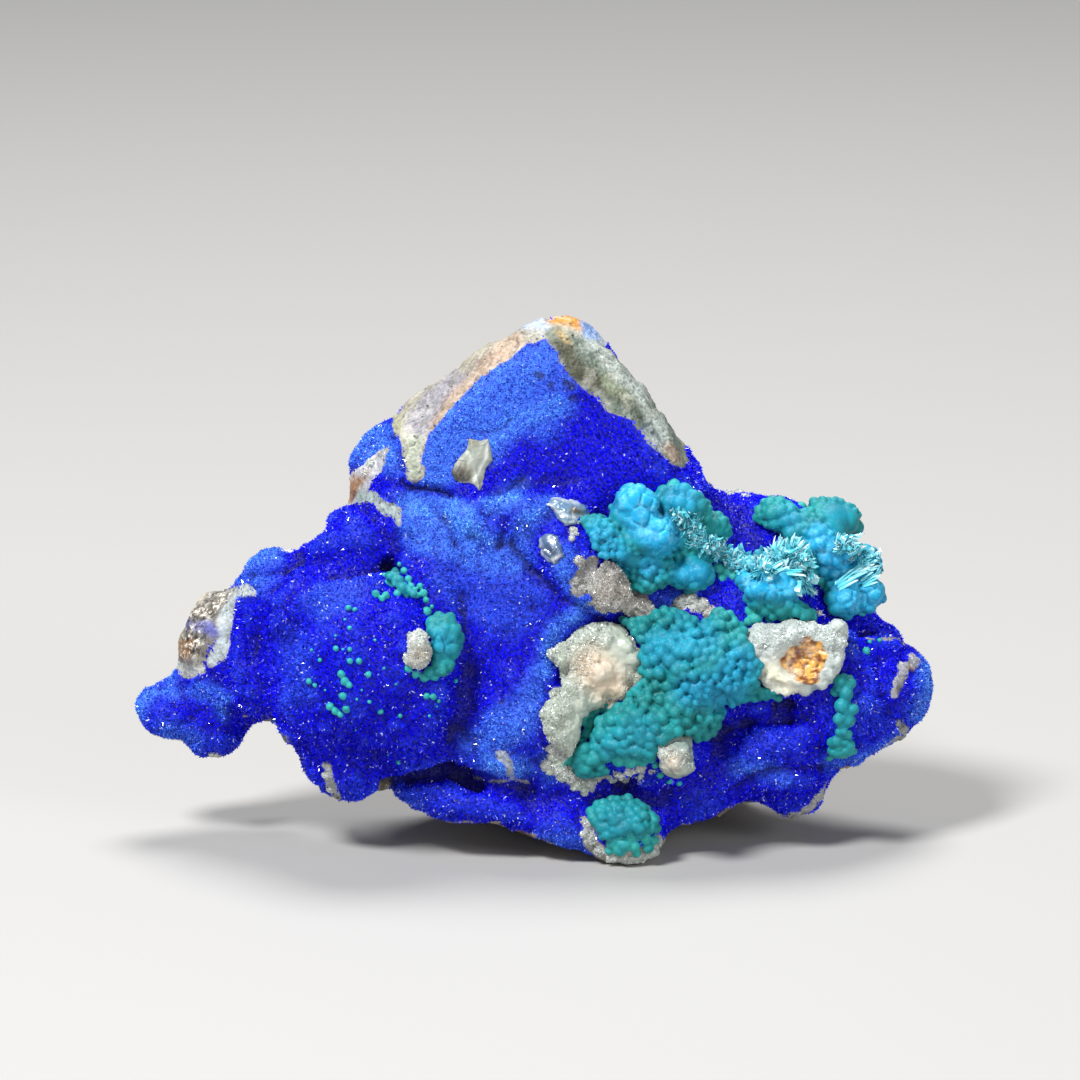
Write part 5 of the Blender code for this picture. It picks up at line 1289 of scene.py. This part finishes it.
# Clear, smoky crystals, each with one broken face to the front and bevelled flanks, sunk in the azurite
# round it: a colour, how clear and how rough, how far the front and its middle stand proud, the height
# of its facets, how strong the painted white highlight on its edges is, its outline on the sheet, and its
# stains with the painted highlight lines among them.
BLOCKS = {
    "window_crystal": {
        "colour": "#8f958a", "clearness": 0.2, "roughness": 0.45, "proud": 0.25, "crown": 0.1,
        "facet": 0.09, "edge": 0.2,
        "outline": [(-7.8, 51.2), (-6.6, 50.9), (-5.5, 51.2), (-5.2, 49.9), (-4.9, 48.5), (-5.8, 47.6),
            (-6, 46.7), (-6.1, 45.7), (-6.6, 44.8), (-7.2, 45.6), (-7.9, 45.8), (-8.8, 45.7), (-9.5, 46.2),
            (-9.9, 47.2), (-9.5, 48.2), (-8.7, 49.2), (-8.1, 49.9)],
        "stains_and_highlights": [("#7f7d6c", 0.8, [(-7.7, 51.1, 0.4), (-6.9, 50.6, 0.4)]),
            ("#3f3a30", 0.95, [(-9.1, 46.9, 1), (-8.2, 46.7, 0.7)]), ("#1e1b17", 0.9, [(-9, 46.6, 0.4),
            (-8.2, 46.3, 0.2)]), ("#6a6352", 0.7, [(-8.7, 48.2, 0.4), (-7.7, 47.4, 0.4)]),
            ("#e4e8dd", 0.9, [(-5.5, 50.6, 0.1), (-5.9, 48.8, 0.1), (-6.3, 47.9, 0.1), (-7.2, 46, 0.1)]),
            ("#8d9284", 0.7, [(-6.4, 46.9, 0.2), (-6.6, 45.7, 0.2)])],
    },
    "clear_crystal_upper": {
        "colour": "#6d8ea4", "clearness": 0.35, "roughness": 0.15, "proud": 0.7, "crown": 1.1,
        "facet": 0.28, "edge": 0.8,
        "outline": [(1.5, 43.2), (2.1, 44.2), (3.6, 44), (5.1, 43.7), (6.3, 43.1), (6.8, 42.2), (6.3, 41.4),
            (5.3, 41), (3.7, 40.7), (2.6, 41.5), (2.3, 42.5)],
        "stains_and_highlights": [("#7f6d50", 0.95, [(4.7, 42.6, 0.4), (5.5, 42.4, 0.2)]),
            ("#f2f8f6", 0.9, [(2.1, 44.2, 0.1), (3.7, 43.9, 0.1), (5.3, 43.4, 0.1)]),
            ("#f2f8f6", 0.9, [(1.7, 43.4, 0.1), (2.7, 42.5, 0.1), (3.7, 41.9, 0.1), (4.9, 41.8, 0.1),
            (6.5, 41.9, 0.1)]), ("#d3e0dc", 0.7, [(2.7, 41.5, 0.1), (3.8, 40.9, 0.2), (5.1, 41.3, 0.1)])],
    },
    "clear_crystal_lower": {
        "colour": "#5d7698", "clearness": 0.35, "roughness": 0.15, "proud": 0.5, "crown": 0.4,
        "facet": 0.28, "edge": 0.8,
        "outline": [(0.6, 39.2), (1.5, 39.7), (2.9, 39.4), (3.1, 38.3), (3.8, 37.1), (2.7, 36), (1.5, 36.4),
            (0.7, 37.3)],
        "stains_and_highlights": [("#46556e", 0.8, [(2.3, 37.6, 0.4), (1.5, 38.2, 0.2)]), ("#f4f8f8", 1, [(1.8, 39.4, 0.1),
            (2.3, 38.4, 0.1)]), ("#e6ebe4", 0.9, [(2.3, 36.6, 0.2), (3.1, 37.2, 0.1)]),
            ("#dfe8ea", 0.7, [(0.7, 39, 0.1), (0.8, 37.6, 0.1), (1.7, 36.4, 0.1)])],
    },
}
BLOCK_VOXEL = 0.12  # mm
BLOCK_DEPTH = 1.8  # mm that a crystal goes into the rock
BEVEL = 0.45  # mm
# This also fades the painted highlight lines.
BLOCK_STAIN_AND_HIGHLIGHT_EDGE = 0.35  # mm on each side over which the edge of a stain fades

for node, plan in BLOCKS.items():
    # Glassy, smoky or water-clear: it takes its tone from what is behind it, and its edges carry a painted
    # white highlight.
    block_material, tree, shader = new_material("glassy_" + node, {
        "Roughness": plan["roughness"], "IOR": 1.52, "Transmission Weight": plan["clearness"],
    })
    ground = add_node(tree, "ShaderNodeAttribute", attribute_name="ground", output="Color")
    tree.links.new(ground, shader.inputs["Base Color"])

    bm = bmesh.new()
    made = bmesh.ops.create_circle(bm, cap_ends=True, segments=len(plan["outline"]), radius=1)
    for vert, (across, up) in zip(made["verts"], plan["outline"]):
        vert.co = struck([rock_now], across, up)[0]
    foot = bmesh.ops.extrude_face_region(bm, geom=bm.faces[:])
    sunk = [item for item in foot["geom"] if isinstance(item, bmesh.types.BMVert)]
    bmesh.ops.translate(bm, vec=FORWARD * BLOCK_DEPTH * MM, verts=sunk)
    bmesh.ops.translate(bm, vec=-FORWARD * 0.2 * MM, verts=made["verts"])
    front = [face for face in bm.faces if all(vert in made["verts"] for vert in face.verts)]
    bmesh.ops.inset_individual(bm, faces=front, thickness=BEVEL * MM, depth=0)
    bmesh.ops.translate(bm, vec=-FORWARD * plan["proud"] * MM, verts=front[0].verts)
    crown = bmesh.ops.poke(bm, faces=front)["verts"]
    bmesh.ops.translate(bm, vec=-FORWARD * plan["crown"] * MM, verts=crown)
    bmesh.ops.recalc_face_normals(bm, faces=bm.faces[:])
    block = object_from(node + "_block", bm)
    fuse(block, BLOCK_VOXEL)
    places, normals = places_of(block.data)
    relief = plan["facet"] * broken(places, 1.4, len(node)) + 0.05 * ripple(places, 0.5, 81)
    move_to(block.data, places + normals * (relief * MM)[:, None])

    places, normals = places_of(block.data)
    sheet = on_sheet(places) + np.stack([ripple(places, 0.8, 82), ripple(places, 0.8, 83)], axis=1) * 0.18
    ground = np.tile(linear(plan["colour"]), (len(places), 1))
    # painted highlight: the ridges and edges are painted near white
    tint(ground, "#e8efec", ramp(-hollowness(block.data, 4), 0.04, 0.12) * plan["edge"])
    # stains, and among them near-white lines that are painted highlights
    for code, strength, stroke in plan["stains_and_highlights"]:
        tint(ground, code, within(sheet, stroke, BLOCK_STAIN_AND_HIGHLIGHT_EDGE) * strength)
    store(block.data, ground=ground)
    coat(block, block_material)
    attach(block, "root")
    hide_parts(node)

# The floor and the light --------------------------------------------------------------------------
# A wide pale floor, and soft white boxes above, in front and to both sides, in a dim pale room.

FLOOR_SIZE = 3  # metres from its middle to its side
ROOM_LIGHT = 0.14
LIGHTS = {  # place in metres, size in metres and strength in watts
    "key": ((-0.4, -0.4, 0.8), 0.25, 14.5),
    "front": ((0.1, -0.9, 0.15), 0.5, 2.3),
    "fill": ((0.65, -0.6, 0.4), 0.4, 3.2),
    "top": ((0.05, 0.3, 0.8), 0.4, 7.6),
}

bm = bmesh.new()
bmesh.ops.create_grid(bm, x_segments=1, y_segments=1, size=FLOOR_SIZE)
floor = object_from("floor", bm)
floor_material, tree, shader = new_material(
    "pale_floor", {"Base Color": (*linear("#9f9e9c"), 1), "Roughness": 0.7}
)
floor.data.materials.append(floor_material)

for name, (place, size, watts) in LIGHTS.items():
    lamp = bpy.data.lights.new(name, "AREA")
    lamp.shape = "DISK"
    lamp.size = size
    lamp.energy = watts
    holder = bpy.data.objects.new(name, lamp)
    holder.location = place
    holder.rotation_euler = (TARGET - Vector(place)).to_track_quat("-Z", "Y").to_euler()
    bpy.context.scene.collection.objects.link(holder)

world = bpy.data.worlds.new("studio")
world.use_nodes = True
world.node_tree.nodes["Background"].inputs["Color"].default_value = (*linear("#e8ebf0"), 1)
world.node_tree.nodes["Background"].inputs["Strength"].default_value = ROOM_LIGHT
bpy.context.scene.world = world
bpy.context.scene.view_settings.view_transform = "Standard"
